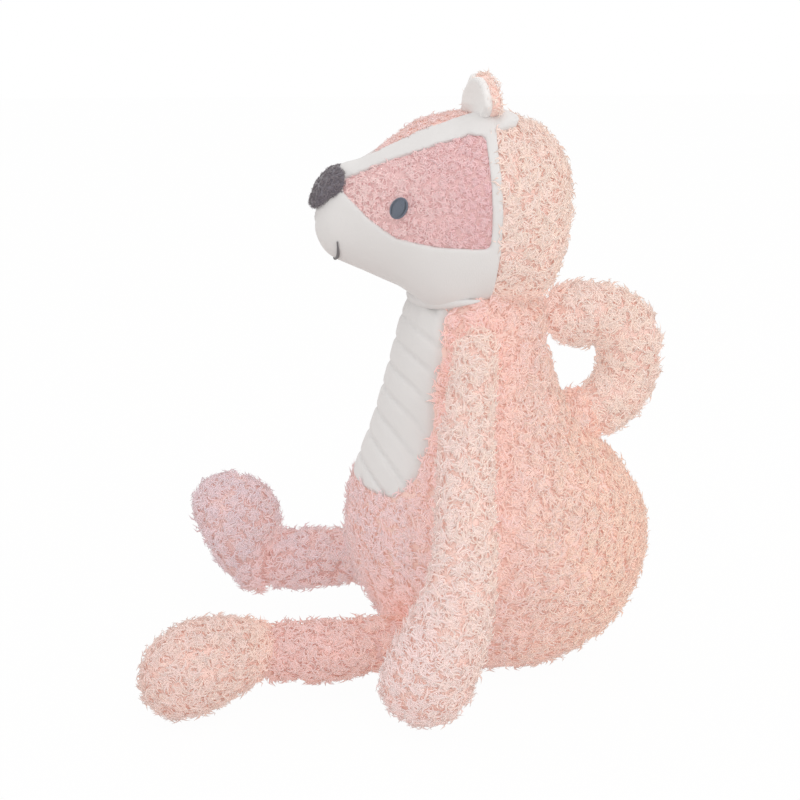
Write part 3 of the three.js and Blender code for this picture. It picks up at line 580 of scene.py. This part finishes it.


# Strands on the part of a skin that a cover lies over, with painted shade in darker tones where a neighbour
# lies close
def growPile(name, skin, covers, material, where=None, neighbours=(), rim=None, clear=(), **changes):
    pile = {**pileSettings, **changes}
    trees = [nodeTree(cover) for cover in covers]
    spread = pile["spread"]
    close = [nodeTree(neighbour) for neighbour in neighbours]
    data = skin.data.copy()
    if pile["rounds"]:
        bm = bmesh.new()
        bm.from_mesh(data)
        splitFine(bm, pile["rounds"])
        bm.to_mesh(data)
        bm.free()
    nap = data.attributes.new("nap", "FLOAT", "POINT")
    deep = data.attributes.new("deep", "FLOAT", "POINT")
    reach = pile["below"] + pile["above"]
    for vert in data.vertices:
        start = vert.co - vert.normal * pile["below"]
        over = not trees or any(tree.ray_cast(start, vert.normal, reach)[0] for tree in trees)
        over = over or (spread > 0 and any(tree.find_nearest(vert.co, spread)[0] for tree in trees))
        over = over or (rim is not None and rim(vert.co))
        over = over and not any(tree.ray_cast(start, vert.normal, reach)[0] for tree in clear)
        nap.data[vert.index].value = float(over and (where is None or where(vert.co)))
        gaps = [tree.find_nearest(vert.co, pile["deepReach"])[3] for tree in close]
        gap = min([g for g in gaps if g is not None], default=pile["deepReach"])
        deep.data[vert.index].value = 1 - gap / pile["deepReach"]
    piece = dressed(name, data)
    made = piece.modifiers.new("pile", "NODES")
    made.node_group = pileTree(pile)
    graph = bpy.context.evaluated_depsgraph_get()
    grown = bpy.data.meshes.new_from_object(piece.evaluated_get(graph))
    piece.modifiers.clear()
    piece.data = grown
    bpy.data.meshes.remove(data)
    grown.name = name
    grown.materials.clear()
    grown.materials.append(material)
    for layer in [a.name for a in grown.attributes if a.name in strandLayers]:
        grown.attributes.remove(grown.attributes[layer])
    print("pile", name, len(grown.polygons), "faces")
    return piece


# Velour panel: the outer side of a sewn panel, laid on a smooth form and padded
def outerSheet(node, core, panel):
    bm = mergedNode(node)
    bm.normal_update()
    inner = []
    for face in bm.faces:
        middle = face.calc_center_median()
        near, normal, index, gap = core.find_nearest(middle)
        if gap < panel["least"] or face.normal.dot((middle - near).normalized()) < panel["facing"]:
            inner.append(face)
    bmesh.ops.delete(bm, geom=inner, context="FACES")
    return bm


def splitFine(bm, rounds):
    for number in range(rounds):
        bmesh.ops.subdivide_edges(bm, edges=bm.edges, cuts=1, use_grid_fill=True)


def paddedPanel(name, node, core, form, panel, material, shape):
    bm = outerSheet(node, core, panel)
    splitFine(bm, panel["rounds"])
    for vert in bm.verts:
        near, normal, index, gap = form.find_nearest(vert.co)
        vert.co = near + normal * (panel["lift"] + shape(near))
    return settled(
        meshObject(name, bm, material),
        ("SOLIDIFY", {"thickness": panel["thick"], "offset": -1}),
        ("REMESH", {"mode": "VOXEL", "voxel_size": panel["voxel"]}),
        ("SMOOTH", {"factor": 0.5, "iterations": panel["soften"]}),
    )


def alongOutline(points, share):  # a smooth curve through the points
    place = share * (len(points) - 1)
    index = min(int(place), len(points) - 2)
    t = place - index
    p = [Vector(points[min(max(index + k, 0), len(points) - 1)]) for k in (-1, 0, 1, 2)]
    return 0.5 * (2 * p[1] + (p[2] - p[0]) * t + (2 * p[0] - 5 * p[1] + 4 * p[2] - p[3]) * t**2
                  + (3 * p[1] - p[0] - 3 * p[2] + p[3]) * t**3)


# A sheet cut to an outline, laid on a form, its edges turned in
def fittedSheet(name, form, sheet, material, shape):
    right, up, cast = Vector(sheet["right"]), Vector(sheet["up"]), Vector(sheet["cast"])
    bm = bmesh.new()
    bmesh.ops.create_grid(bm, x_segments=sheet["columns"], y_segments=sheet["rows"], size=1)
    for vert in bm.verts:
        across = vert.co.x
        width, height = alongOutline(sheet["outline"], (vert.co.y + 1) / 2)
        start = Vector(sheet["origin"]) + right * across * width * sheet["half"] + up * height * sheet["rise"]
        near, normal, index, gap = form.ray_cast(start, cast)
        inward = min((1 - abs(across)) * width * sheet["half"], height * sheet["rise"])
        full = smoothStep(inward / sheet["edge"])
        lift = full * (sheet["lift"] + shape(near)) - (1 - full) * sheet["sink"]
        vert.co = near + normal * lift
    bmesh.ops.smooth_vert(bm, verts=bm.verts, factor=0.4, use_axis_x=True, use_axis_y=True, use_axis_z=True)
    bm.normal_update()
    bm.faces.ensure_lookup_table()
    if bm.faces[0].normal.dot(cast) > 0:
        bmesh.ops.reverse_faces(bm, faces=bm.faces)
    piece = meshObject(name, bm, material)
    return settled(piece, ("SOLIDIFY", {"thickness": sheet["thick"], "offset": -1}))


# A tube rolled from a flat sheet along a path
def rolledTube(name, rows, around, ringPoint, material):
    bm = bmesh.new()
    bmesh.ops.create_grid(bm, x_segments=around, y_segments=rows, size=1)
    for vert in bm.verts:
        vert.co = ringPoint((vert.co.y + 1) / 2, math.pi * vert.co.x)
    bmesh.ops.remove_doubles(bm, verts=bm.verts, dist=mergeGap)
    bmesh.ops.holes_fill(bm, edges=bm.edges)
    bmesh.ops.recalc_face_normals(bm, faces=bm.faces)
    return meshObject(name, bm, material)


# Torso; the rim is its top edge under the head, and the pile is grown in three levels
torso = {
    "grow": 3 * mm, "levels": 3, "rimHeight": 148 * mm, "rimTurn": 62, "rimBack": 11 * mm,
    "pushes": (
        ((0, 44, 8), 62, (0, -3.6, 4.8)), ((0, 62, 70), 46, (0, 2.6, 0)), ((0, 24, 0), 60, (0, 0, 2.2)),
    ),
    "pileLevels": (-1, 38 * mm, 82 * mm, 1),
    "pile": {"hue": 0.25, "hueSpan": 0.09, "deepReach": 25 * mm},
}
torsoSkin = stuffedForm("torso_skin", "torso_fill", torso["grow"], torso["levels"], backing)
torsoForm = treeOf(torsoSkin)

# White fold under the chin
chinFold = {
    "radius": (31 * mm, 26.5 * mm), "middle": (0, -11 * mm, 153.5 * mm), "spread": 84, "tuck": 3 * mm,
    "tube": 2.6 * mm, "tall": 1.15, "endWidth": 0.35, "endEase": 0.55, "endPower": 12, "endLeast": 0.02,
    "rows": 64, "around": 12,
}


def foldRing(share, angle):
    f = chinFold
    turn = math.radians(f["spread"] * (2 * share - 1))
    out = Vector((math.sin(turn), -math.cos(turn), 0))
    reach = Vector((out.x * f["radius"][0], out.y * f["radius"][1], 0))
    full = smoothStep((1 - abs(2 * share - 1)) / f["endEase"])
    ending = math.sqrt(max(1 - abs(2 * share - 1) ** f["endPower"], f["endLeast"]))
    width = f["tube"] * (f["endWidth"] + (1 - f["endWidth"]) * full) * ending
    rise = Vector((0, 0, math.sin(angle) * width * f["tall"] + f["tuck"] * (2 * share - 1) ** 2))
    return Vector(f["middle"]) + reach + out * math.cos(angle) * width + rise


fold = rolledTube("chin_fold", chinFold["rows"], chinFold["around"], foldRing, velour)
foldTree = treeOf(fold)
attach(fold, "torso")

# Belly panel: a fitted sheet of flat-topped ribs that drop towards the sides
bellyPanel = {
    "origin": (0, -0.3, 75 * mm), "right": (1, 0, 0), "up": (0, 0, 1), "cast": (0, 1, 0),
    "half": 38.5 * mm, "rise": 78 * mm, "rows": 150, "columns": 72,
    "outline": ((0.4, 0), (0.73, 0.005), (0.92, 0.035), (1, 0.1), (0.985, 0.2), (0.89, 0.38), (0.78, 0.58),
                (0.73, 0.78), (0.66, 1)),
    "pitch": 10 * mm, "height": 1.3 * mm, "flatness": 3.4,
    "archTop": 9 * mm, "archLow": 24 * mm, "archTurn": 64, "archBack": 10 * mm,
    "lift": 0.1 * mm, "edge": 3 * mm, "sink": 1.2 * mm, "thick": 2.4 * mm,
}


def ribWave(place):
    b = bellyPanel
    turn = math.degrees(math.atan2(place.x, -place.y - b["archBack"])) / b["archTurn"]
    low = 1 - (place.z - b["origin"][2]) / b["rise"]
    arch = b["archTop"] + (b["archLow"] - b["archTop"]) * low
    crest = abs(math.cos(math.pi * (place.z + arch * turn**2) / b["pitch"]))
    return b["height"] * (1 - (1 - crest) ** b["flatness"])


belly = fittedSheet("belly_ribs", torsoForm, bellyPanel, velour, ribWave)
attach(belly, "torso")
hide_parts("belly_panel")

nudgeAll(torsoSkin, torso["pushes"])
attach(torsoSkin, "torso")
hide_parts("torso_cover", "torso_fill")


def onRim(place):  # behind the belly panel only
    turn = math.degrees(math.atan2(abs(place.x), -place.y - torso["rimBack"]))
    return place.z > torso["rimHeight"] and turn > torso["rimTurn"]


torsoNear = [f"{side}_{limb}_cover" for side in sides for limb in ("arm", "leg")]
for number, (low, high) in enumerate(zip(torso["pileLevels"], torso["pileLevels"][1:])):
    for side, flip in flips.items():
        part = growPile(
            f"torso_pile_{side}_{number + 1}", torsoSkin, ["torso_cover"], pinkPile,
            lambda p: low <= p.z < high and p.x * flip >= 0, torsoNear, onRim, [foldTree],
            seed=2 * number + flip + 2, **torso["pile"],
        )
        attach(part, "torso")

# Raised cloth round the root of the tail
tailSeat = {
    "place": (0, 32 * mm, 99.5 * mm), "size": (13 * mm, 10 * mm, 11.5 * mm), "rounds": 4, "deepReach": 9 * mm,
    "pushes": (((0, 30, 88), 14, (0, 3, -3)), ((0, 24, 110), 14, (0, -2, -1.5))),
}
bm = bmesh.new()
bmesh.ops.create_icosphere(bm, subdivisions=tailSeat["rounds"], radius=1)
bmesh.ops.scale(bm, verts=bm.verts, vec=tailSeat["size"])
bmesh.ops.translate(bm, verts=bm.verts, vec=tailSeat["place"])
seat = meshObject("tail_seat", bm, backing)
nudgeAll(seat, tailSeat["pushes"])
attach(seat, "torso")
part = growPile(
    "tail_seat_pile", seat, [], pinkPile, neighbours=["tail_cover"], deepReach=tailSeat["deepReach"],
)
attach(part, "torso")
print("torso done")

# Limbs and tail; below is how deep a cover may lie under its pushed skin
limbSkin = {"grow": 3 * mm, "levels": 2, "below": 9 * mm}
arm = {"pile": palePile, "skin": backing, "hue": 0.7, "pushes": [((64, -45, 14), 42, (0, -7.5, -2.6))]}
limbs = {
    "arm": {
        "fill": 0.7, "bright": 0, "hueSpan": 0.05, "near": ("torso_cover", "{}_leg_cover"),
        "left": arm, "right": arm,
    },
    # painted shade: the legs take darker copies of the pile and backing, and painted light below zero darkens
    # their strands
    "leg": {
        "fill": 0.7, "bright": -0.12, "near": ("torso_cover", "{}_arm_cover"),
        "left": {
            "pile": shadedLegPile, "skin": shadedBacking, "hue": 0.2,
            "pushes": [((46, -78, 12), 45, (0, 0, -4))],
        },
        "right": {
            "pile": coolShadedPile, "skin": shadedBacking, "hue": 0.2,
            "pushes": [
                ((44, -76, 30), 42, (0, 0, 4.4)), ((44, -80, 2), 32, (0, 0, -4)),
                ((44, -100, 42), 18, (0, -1, 5)),
            ],
        },
    },
    "foot": {
        "fill": 0.8, "bright": 0, "near": ("{}_leg_cover",),
        "left": {
            "pile": footPile, "skin": backing, "hue": 0.85,
            "pushes": [((60, -148, 8), 40, (0, -1.6, -4.4))],
        },
        "right": {
            # painted shade: the far foot is pinker than the near foot
            "pile": coolShadedPile, "skin": shadedBacking, "hue": 0.4,
            "pushes": [
                ((44, -100, 50), 26, (0, 4.6, 1.5)), ((44, -134, 28), 34, (0, 4.2, 0)),
                ((44, -116, 2), 24, (0, 6, 0)),
            ],
        },
    },
    "tail": {
        "fill": 0.7, "bright": 0, "grow": 4.4 * mm, "near": ("torso_cover",),
        "": {
            "pile": palePile, "skin": backing, "hue": 0.2,
            "pushes": [((0, 68, 118), 34, (0, -2, 0)), ((0, 31, 129), 15, (0, 0, -1.2))],
        },
    },
}
for kind, limb in limbs.items():
    for side in sides if kind != "tail" else ("",):
        look = limb[side]
        name = f"{side}_{kind}" if side else kind  # its body has the same name
        grow = limb.get("grow", limbSkin["grow"])
        skin = stuffedForm(f"{name}_skin", f"{name}_fill", grow, limbSkin["levels"], look["skin"])
        nudgeAll(skin, look["pushes"], flips.get(side, 1))
        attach(skin, name)
        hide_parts(f"{name}_cover", f"{name}_fill")
        pile = growPile(
            f"{name}_pile", skin, [f"{name}_cover"], look["pile"],
            neighbours=[neighbour.format(side) for neighbour in limb["near"]],
            bright=limb["bright"], hue=look["hue"], hueSpan=limb.get("hueSpan", pileSettings["hueSpan"]),
            below=limbSkin["below"],
        )
        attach(pile, name)
print("limbs and tail done")

# Head; crown is pushed on both sides, brow before the panels are laid and hood after them
head = {
    "grow": 1.9 * mm, "levels": 3, "patchReach": 4 * mm, "seamBelow": 3 * mm, "seamReach": 12 * mm,
    "crown": (((17, -13, 224), 30, (0.6, 0, 2.9)), ((22, -9, 222), 15, (1.2, 0.4, 3))),
    "brow": (((0, -42, 217), 24, (0, -0.6, 1.2)),),
    "hood": (((0, 28, 172), 42, (0, -4.6, 0)), ((0, -36, 222), 26, (0, 0, 2.4))),
    "pile": {"hue": 0.45},
}
headSkin = stuffedForm("head_skin", "head_fill", head["grow"], head["levels"], backing)
headCore = treeOf(nodes["head_fill"])
for flip in flips.values():
    nudgeAll(headSkin, head["crown"], flip)
nudgeAll(headSkin, head["brow"])
headForm = treeOf(headSkin)
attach(headSkin, "head")
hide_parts("head_fill", "head_back_cover")

# White face panels, fuller at the muzzle and the cheeks
facePanel = {
    "least": 2.4 * mm, "facing": 0.5, "rounds": 3, "lift": 1.6 * mm, "thick": 2.6 * mm, "voxel": 0.8 * mm,
    "soften": 5,
    "bulges": (
        {"place": (0, -74 * mm, 174 * mm), "reach": 24 * mm, "height": 0.8 * mm},
        {"place": (28 * mm, -26 * mm, 156 * mm), "reach": 32 * mm, "height": 4.2 * mm},
    ),
    "pushes": (
        ((28, -32, 150), 26, (0, 0, -6)), ((34, -6, 190), 46, (0, 2.2, 0)),
        ((0, -81, 187), 8, (0, 2.6, -0.4)), ((0, -66, 204), 11, (0, 0, 2)),
    ),
}


def muzzle(place):
    mirrored = Vector((abs(place.x), place.y, place.z))

    def rise(bulge):
        away = (mirrored - Vector(bulge["place"])).length
        return bulge["height"] * smoothStep(1 - away / bulge["reach"])

    return sum(rise(bulge) for bulge in facePanel["bulges"])


faceTrees = []
for side, flip in flips.items():
    face = paddedPanel(
        f"{side}_face_velour", f"{side}_face_panel", headCore, headForm, facePanel, velour, muzzle,
    )
    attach(face, "head")
    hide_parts(f"{side}_face_panel")
    nudgeAll(face, facePanel["pushes"], flip)
    faceTrees.append(treeOf(face))

# Rounded rear end of the white stripe, laid over the hood; origin in millimetres on the left side
stripeEnd = {
    "origin": (29.8, -10.8, 245.4), "right": (0.86, 0.34, -0.38), "up": (-0.36, 0.93, 0.02),
    "cast": (-0.36, -0.14, -0.92), "half": 8.6 * mm, "rise": 15 * mm, "rows": 24, "columns": 16,
    "outline": ((0.9, 0), (1, 0.2), (1, 0.4), (0.94, 0.6), (0.78, 0.8), (0.5, 0.94), (0.12, 1)),
    "lift": 3.4 * mm, "edge": 1.4 * mm, "sink": 0.6 * mm, "thick": 2.2 * mm,
    "tuck": -2.2 * mm, "tuckFrom": -5 * mm, "tuckSpan": 4 * mm,
}


def tuckedIn(place):  # lower where the stripe of the face lies over it
    return stripeEnd["tuck"] * smoothStep((stripeEnd["tuckFrom"] - place.y) / stripeEnd["tuckSpan"])


for side, flip in flips.items():
    sheet = {**stripeEnd, **{key: flipped(stripeEnd[key], flip) for key in ("right", "up", "cast")}}
    sheet["origin"] = tuple(part * mm for part in flipped(stripeEnd["origin"], flip))
    tip = fittedSheet(f"{side}_stripe_end", headForm, sheet, velour, tuckedIn)
    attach(tip, "head")
    faceTrees.append(treeOf(tip))

# White cloth under the seams of the face, rose cloth under the patches
headSkin.data.materials.append(velour)
headSkin.data.materials.append(roseBacking)
panelTrees = [nodeTree(f"{side}_face_panel") for side in sides]
patchTrees = [nodeTree(f"{side}_eye_patch") for side in sides]
for part in headSkin.data.polygons:
    start = part.center - part.normal * head["seamBelow"]
    if any(tree.find_nearest(part.center, head["patchReach"])[0] for tree in patchTrees):
        part.material_index = 2
    elif any(tree.ray_cast(start, part.normal, head["seamReach"])[0] for tree in panelTrees):
        part.material_index = 1
nudgeAll(headSkin, head["hood"])
hood = growPile(
    "head_pile", headSkin, ["head_back_cover"], palePile, neighbours=["torso_cover"], clear=faceTrees,
    **head["pile"],
)
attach(hood, "head")

# Shorter pile of the forehead strip and the eye patches, which grow paler towards the nose
facePile = {
    "size": 0.58, "perSquareMm": 2, "apart": 0.35 * mm, "comb": (0, 0.15, -0.1), "curl": 3.4 * mm,
    "curlHeight": 0.6 * mm, "spread": 3.4 * mm, "rounds": 1,
}
patchHue = {"hue": -0.3, "hueSpan": -0.06}
facePieces = [("forehead_pile", "forehead_strip", pinkPile, "pink_pile", {})]
facePieces += [(f"{side}_patch_pile", f"{side}_eye_patch", rosePile, "rose_pile", patchHue) for side in sides]
for name, node, material, slot, hues in facePieces:
    pile = growPile(name, headSkin, [node], material, clear=faceTrees, **facePile, **hues)
    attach(pile, "head")
    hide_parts(node)
print("head done")

# Ears: turned, moved and spread about their roots; spread is at the base and at the tip
ears = {
    "turn": -24, "root": (16 * mm, -10 * mm, 230 * mm), "spread": (1.5, 0.88),
    "shift": {"left": (-1.6 * mm, -0.8 * mm, -1.6 * mm), "right": (1.6 * mm, 2.4 * mm, -1.6 * mm)},
    "tuckBelow": 231 * mm, "tuckLean": 0.8,
    "cup": {"voxel": 0.7 * mm, "soften": 8, "grow": 0},
    "lining": {"voxel": 0.6 * mm, "soften": 6, "grow": 1 * mm},
    "pileLow": 229 * mm, "pileFront": 0.2 * mm, "pile": {"size": 0.62, "hue": 0.5},
}


def middleOf(piece):
    return sum((v.co for v in piece.data.vertices), Vector()) / len(piece.data.vertices)


for side, flip in flips.items():
    body = f"{side}_ear"
    cup = roundedCopy(f"{side}_ear_cup", f"{side}_ear_back", backing, **ears["cup"])
    lining = roundedCopy(f"{side}_ear_velour", f"{side}_ear_lining", litEarVelour, **ears["lining"])
    turn = Matrix.Rotation(math.radians(ears["turn"] * flip), 4, "Z")
    root = Matrix.Translation(flipped(ears["root"], flip))
    for piece in (cup, lining):
        piece.data.transform(Matrix.Translation(ears["shift"][side]) @ root @ turn @ root.inverted())
    for piece, node, slot in ((cup, "back", "pink_pile"), (lining, "lining", "white_velour")):
        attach(piece, body)
        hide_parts(f"{side}_ear_{node}")
    liningMiddle, cupMiddle = middleOf(lining), middleOf(cup)
    ahead = (liningMiddle - cupMiddle).normalized()
    wide = ahead.cross(Vector((0, 0, 1))).normalized()
    heights = [v.co.z for v in cup.data.vertices]
    low, high = min(heights), max(heights)
    for piece in (cup, lining):
        for vert in piece.data.vertices:
            share = min(max((vert.co.z - low) / (high - low), 0), 1)
            spread = ears["spread"][0] + (ears["spread"][1] - ears["spread"][0]) * share
            vert.co += wide * (vert.co - cupMiddle).dot(wide) * (spread - 1)
            vert.co.x -= flip * max(ears["tuckBelow"] - vert.co.z, 0) * ears["tuckLean"]
    pile = growPile(
        f"{side}_ear_pile", cup, [], palePile,
        lambda p: (p - liningMiddle).dot(ahead) < ears["pileFront"] and p.z > ears["pileLow"],
        **ears["pile"],
    )
    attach(pile, body)
print("ears done")

# Nose: a dark pad with a very short nap
nose = {
    "pad": {"voxel": 0.7 * mm, "soften": 9, "grow": -0.2 * mm},
    "nap": {
        "size": 0.3, "perSquareMm": 3.4, "apart": 0.3 * mm, "lock": 5 * mm, "comb": (0, 0, 0),
        "curl": 2.4 * mm, "curlHeight": 0.2 * mm,
    },
}
nosePad = roundedCopy("nose_pad", "nose", noseCloth, **nose["pad"])
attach(nosePad, "head")
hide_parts("nose")
nap = growPile("nose_nap", nosePad, [], nosePile, **nose["nap"])
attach(nap, "head")

# Eyes: slanted satin stitches over a low pad, with a darker edge
eye = {
    "long": 4.1 * mm, "short": 3.1 * mm, "lean": -34, "shift": (0, 2.6 * mm, -0.7 * mm), "lift": 3.4 * mm,
    "bow": 0.9 * mm, "padDrop": 0.6 * mm, "thread": 0.42 * mm, "threadSides": 8,
    "stitches": 15, "stitchReach": 0.93, "stitchBow": 0.35, "stitchSlant": 0.25, "stitchLeast": 0.8 * mm,
    "edgeStitches": 26, "edgeDrop": 0.1 * mm, "edgeHalf": 0.95 * mm, "edgeThread": 1.1,
}


def eyePiece(side, flip):
    low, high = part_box(f"{side}_eye")
    middle = (Vector(low) + Vector(high)) / 2 + Vector(eye["shift"])
    near, normal, index, gap = headForm.find_nearest(middle)
    upward = (Vector((0, 0, 1)) - normal * normal.z).normalized()
    rear = upward.cross(normal) * -flip
    lean = math.radians(eye["lean"])
    tall = upward * math.cos(lean) + rear * math.sin(lean)
    wide = rear * math.cos(lean) - upward * math.sin(lean)
    bm = bmesh.new()

    def onEye(x, y, lift):  # a place on the oval, at a height over the head
        return near + wide * x * eye["short"] + tall * y * eye["long"] + normal * lift

    def threadAt(place, direction, half, width, dark):
        facets = eye["threadSides"]
        made = bmesh.ops.create_uvsphere(bm, u_segments=facets, v_segments=facets, radius=1)["verts"]
        spin = direction.to_track_quat("Z", "Y")
        for vert in made:
            vert.co = place + spin @ Vector((vert.co.x * width, vert.co.y * width, vert.co.z * half))
        for face in {face for vert in made for face in vert.link_faces}:
            face.material_index = dark

    pad = bmesh.ops.create_icosphere(bm, subdivisions=3, radius=1)["verts"]
    for vert in pad:
        x, y, z = vert.co
        vert.co = onEye(x, y, eye["lift"] - eye["padDrop"] + z * eye["bow"])
        for face in vert.link_faces:
            face.material_index = 1
    for number in range(eye["stitches"]):
        across = 2 * (number + 0.5) / eye["stitches"] - 1
        half = eye["short"] * math.sqrt(1 - across**2) * eye["stitchReach"]
        lift = eye["lift"] + eye["bow"] * (1 - across**2) * eye["stitchBow"]
        place = onEye(0, across * eye["stitchReach"], lift)
        threadAt(place, wide + tall * eye["stitchSlant"], max(half, eye["stitchLeast"]), eye["thread"], 0)
    for number in range(eye["edgeStitches"]):
        a = math.tau * number / eye["edgeStitches"]
        place = onEye(math.cos(a), math.sin(a), eye["lift"] - eye["edgeDrop"])
        along = wide * -math.sin(a) * eye["short"] + tall * math.cos(a) * eye["long"]
        threadAt(place, along.normalized(), eye["edgeHalf"], eye["thread"] * eye["edgeThread"], 1)
    piece = meshObject(f"{side}_eye_stitches", bm, eyeThread)
    piece.data.materials.append(eyeEdge)
    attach(piece, "head")
    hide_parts(f"{side}_eye")


for side, flip in flips.items():
    eyePiece(side, flip)

# Mouth: one thread sewn round under the muzzle, thin at its two ends; half its path in millimetres
mouth = {
    "half": ((12.4, -68.5, 178), (11.7, -68.4, 175.6), (10, -68.2, 173.2), (7.6, -68, 171.9),
             (4, -68.2, 171.3), (0, -68.4, 171.1)),
    "thin": 0.3 * mm, "thick": 0.65 * mm, "lift": 2 * mm, "fullest": 0.26, "step": 0.01,
    "rows": 60, "around": 8,
}
mouthPath = [Vector(p) * mm for p in mouth["half"]]
mouthPath += [Vector((-p.x, p.y, p.z)) for p in reversed(mouthPath[:-1])]


def mouthRing(share, angle):
    spot = alongOutline(mouthPath, share)
    after = alongOutline(mouthPath, min(share + mouth["step"], 1))
    before = alongOutline(mouthPath, max(share - mouth["step"], 0))
    near, normal, index, gap = headForm.find_nearest(spot)
    across = (after - before).cross(normal).normalized()
    full = smoothStep(1 - abs(min(share, 1 - share) - mouth["fullest"]) / mouth["fullest"])
    width = mouth["thin"] + (mouth["thick"] - mouth["thin"]) * full
    middle = near + normal * (mouth["lift"] + muzzle(near))
    return middle + (across * math.cos(angle) + normal * math.sin(angle)) * width


stitch = rolledTube("mouth_stitch", mouth["rows"], mouth["around"], mouthRing, mouthYarn)
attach(stitch, "head")
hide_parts("mouth_thread")
print("face done")
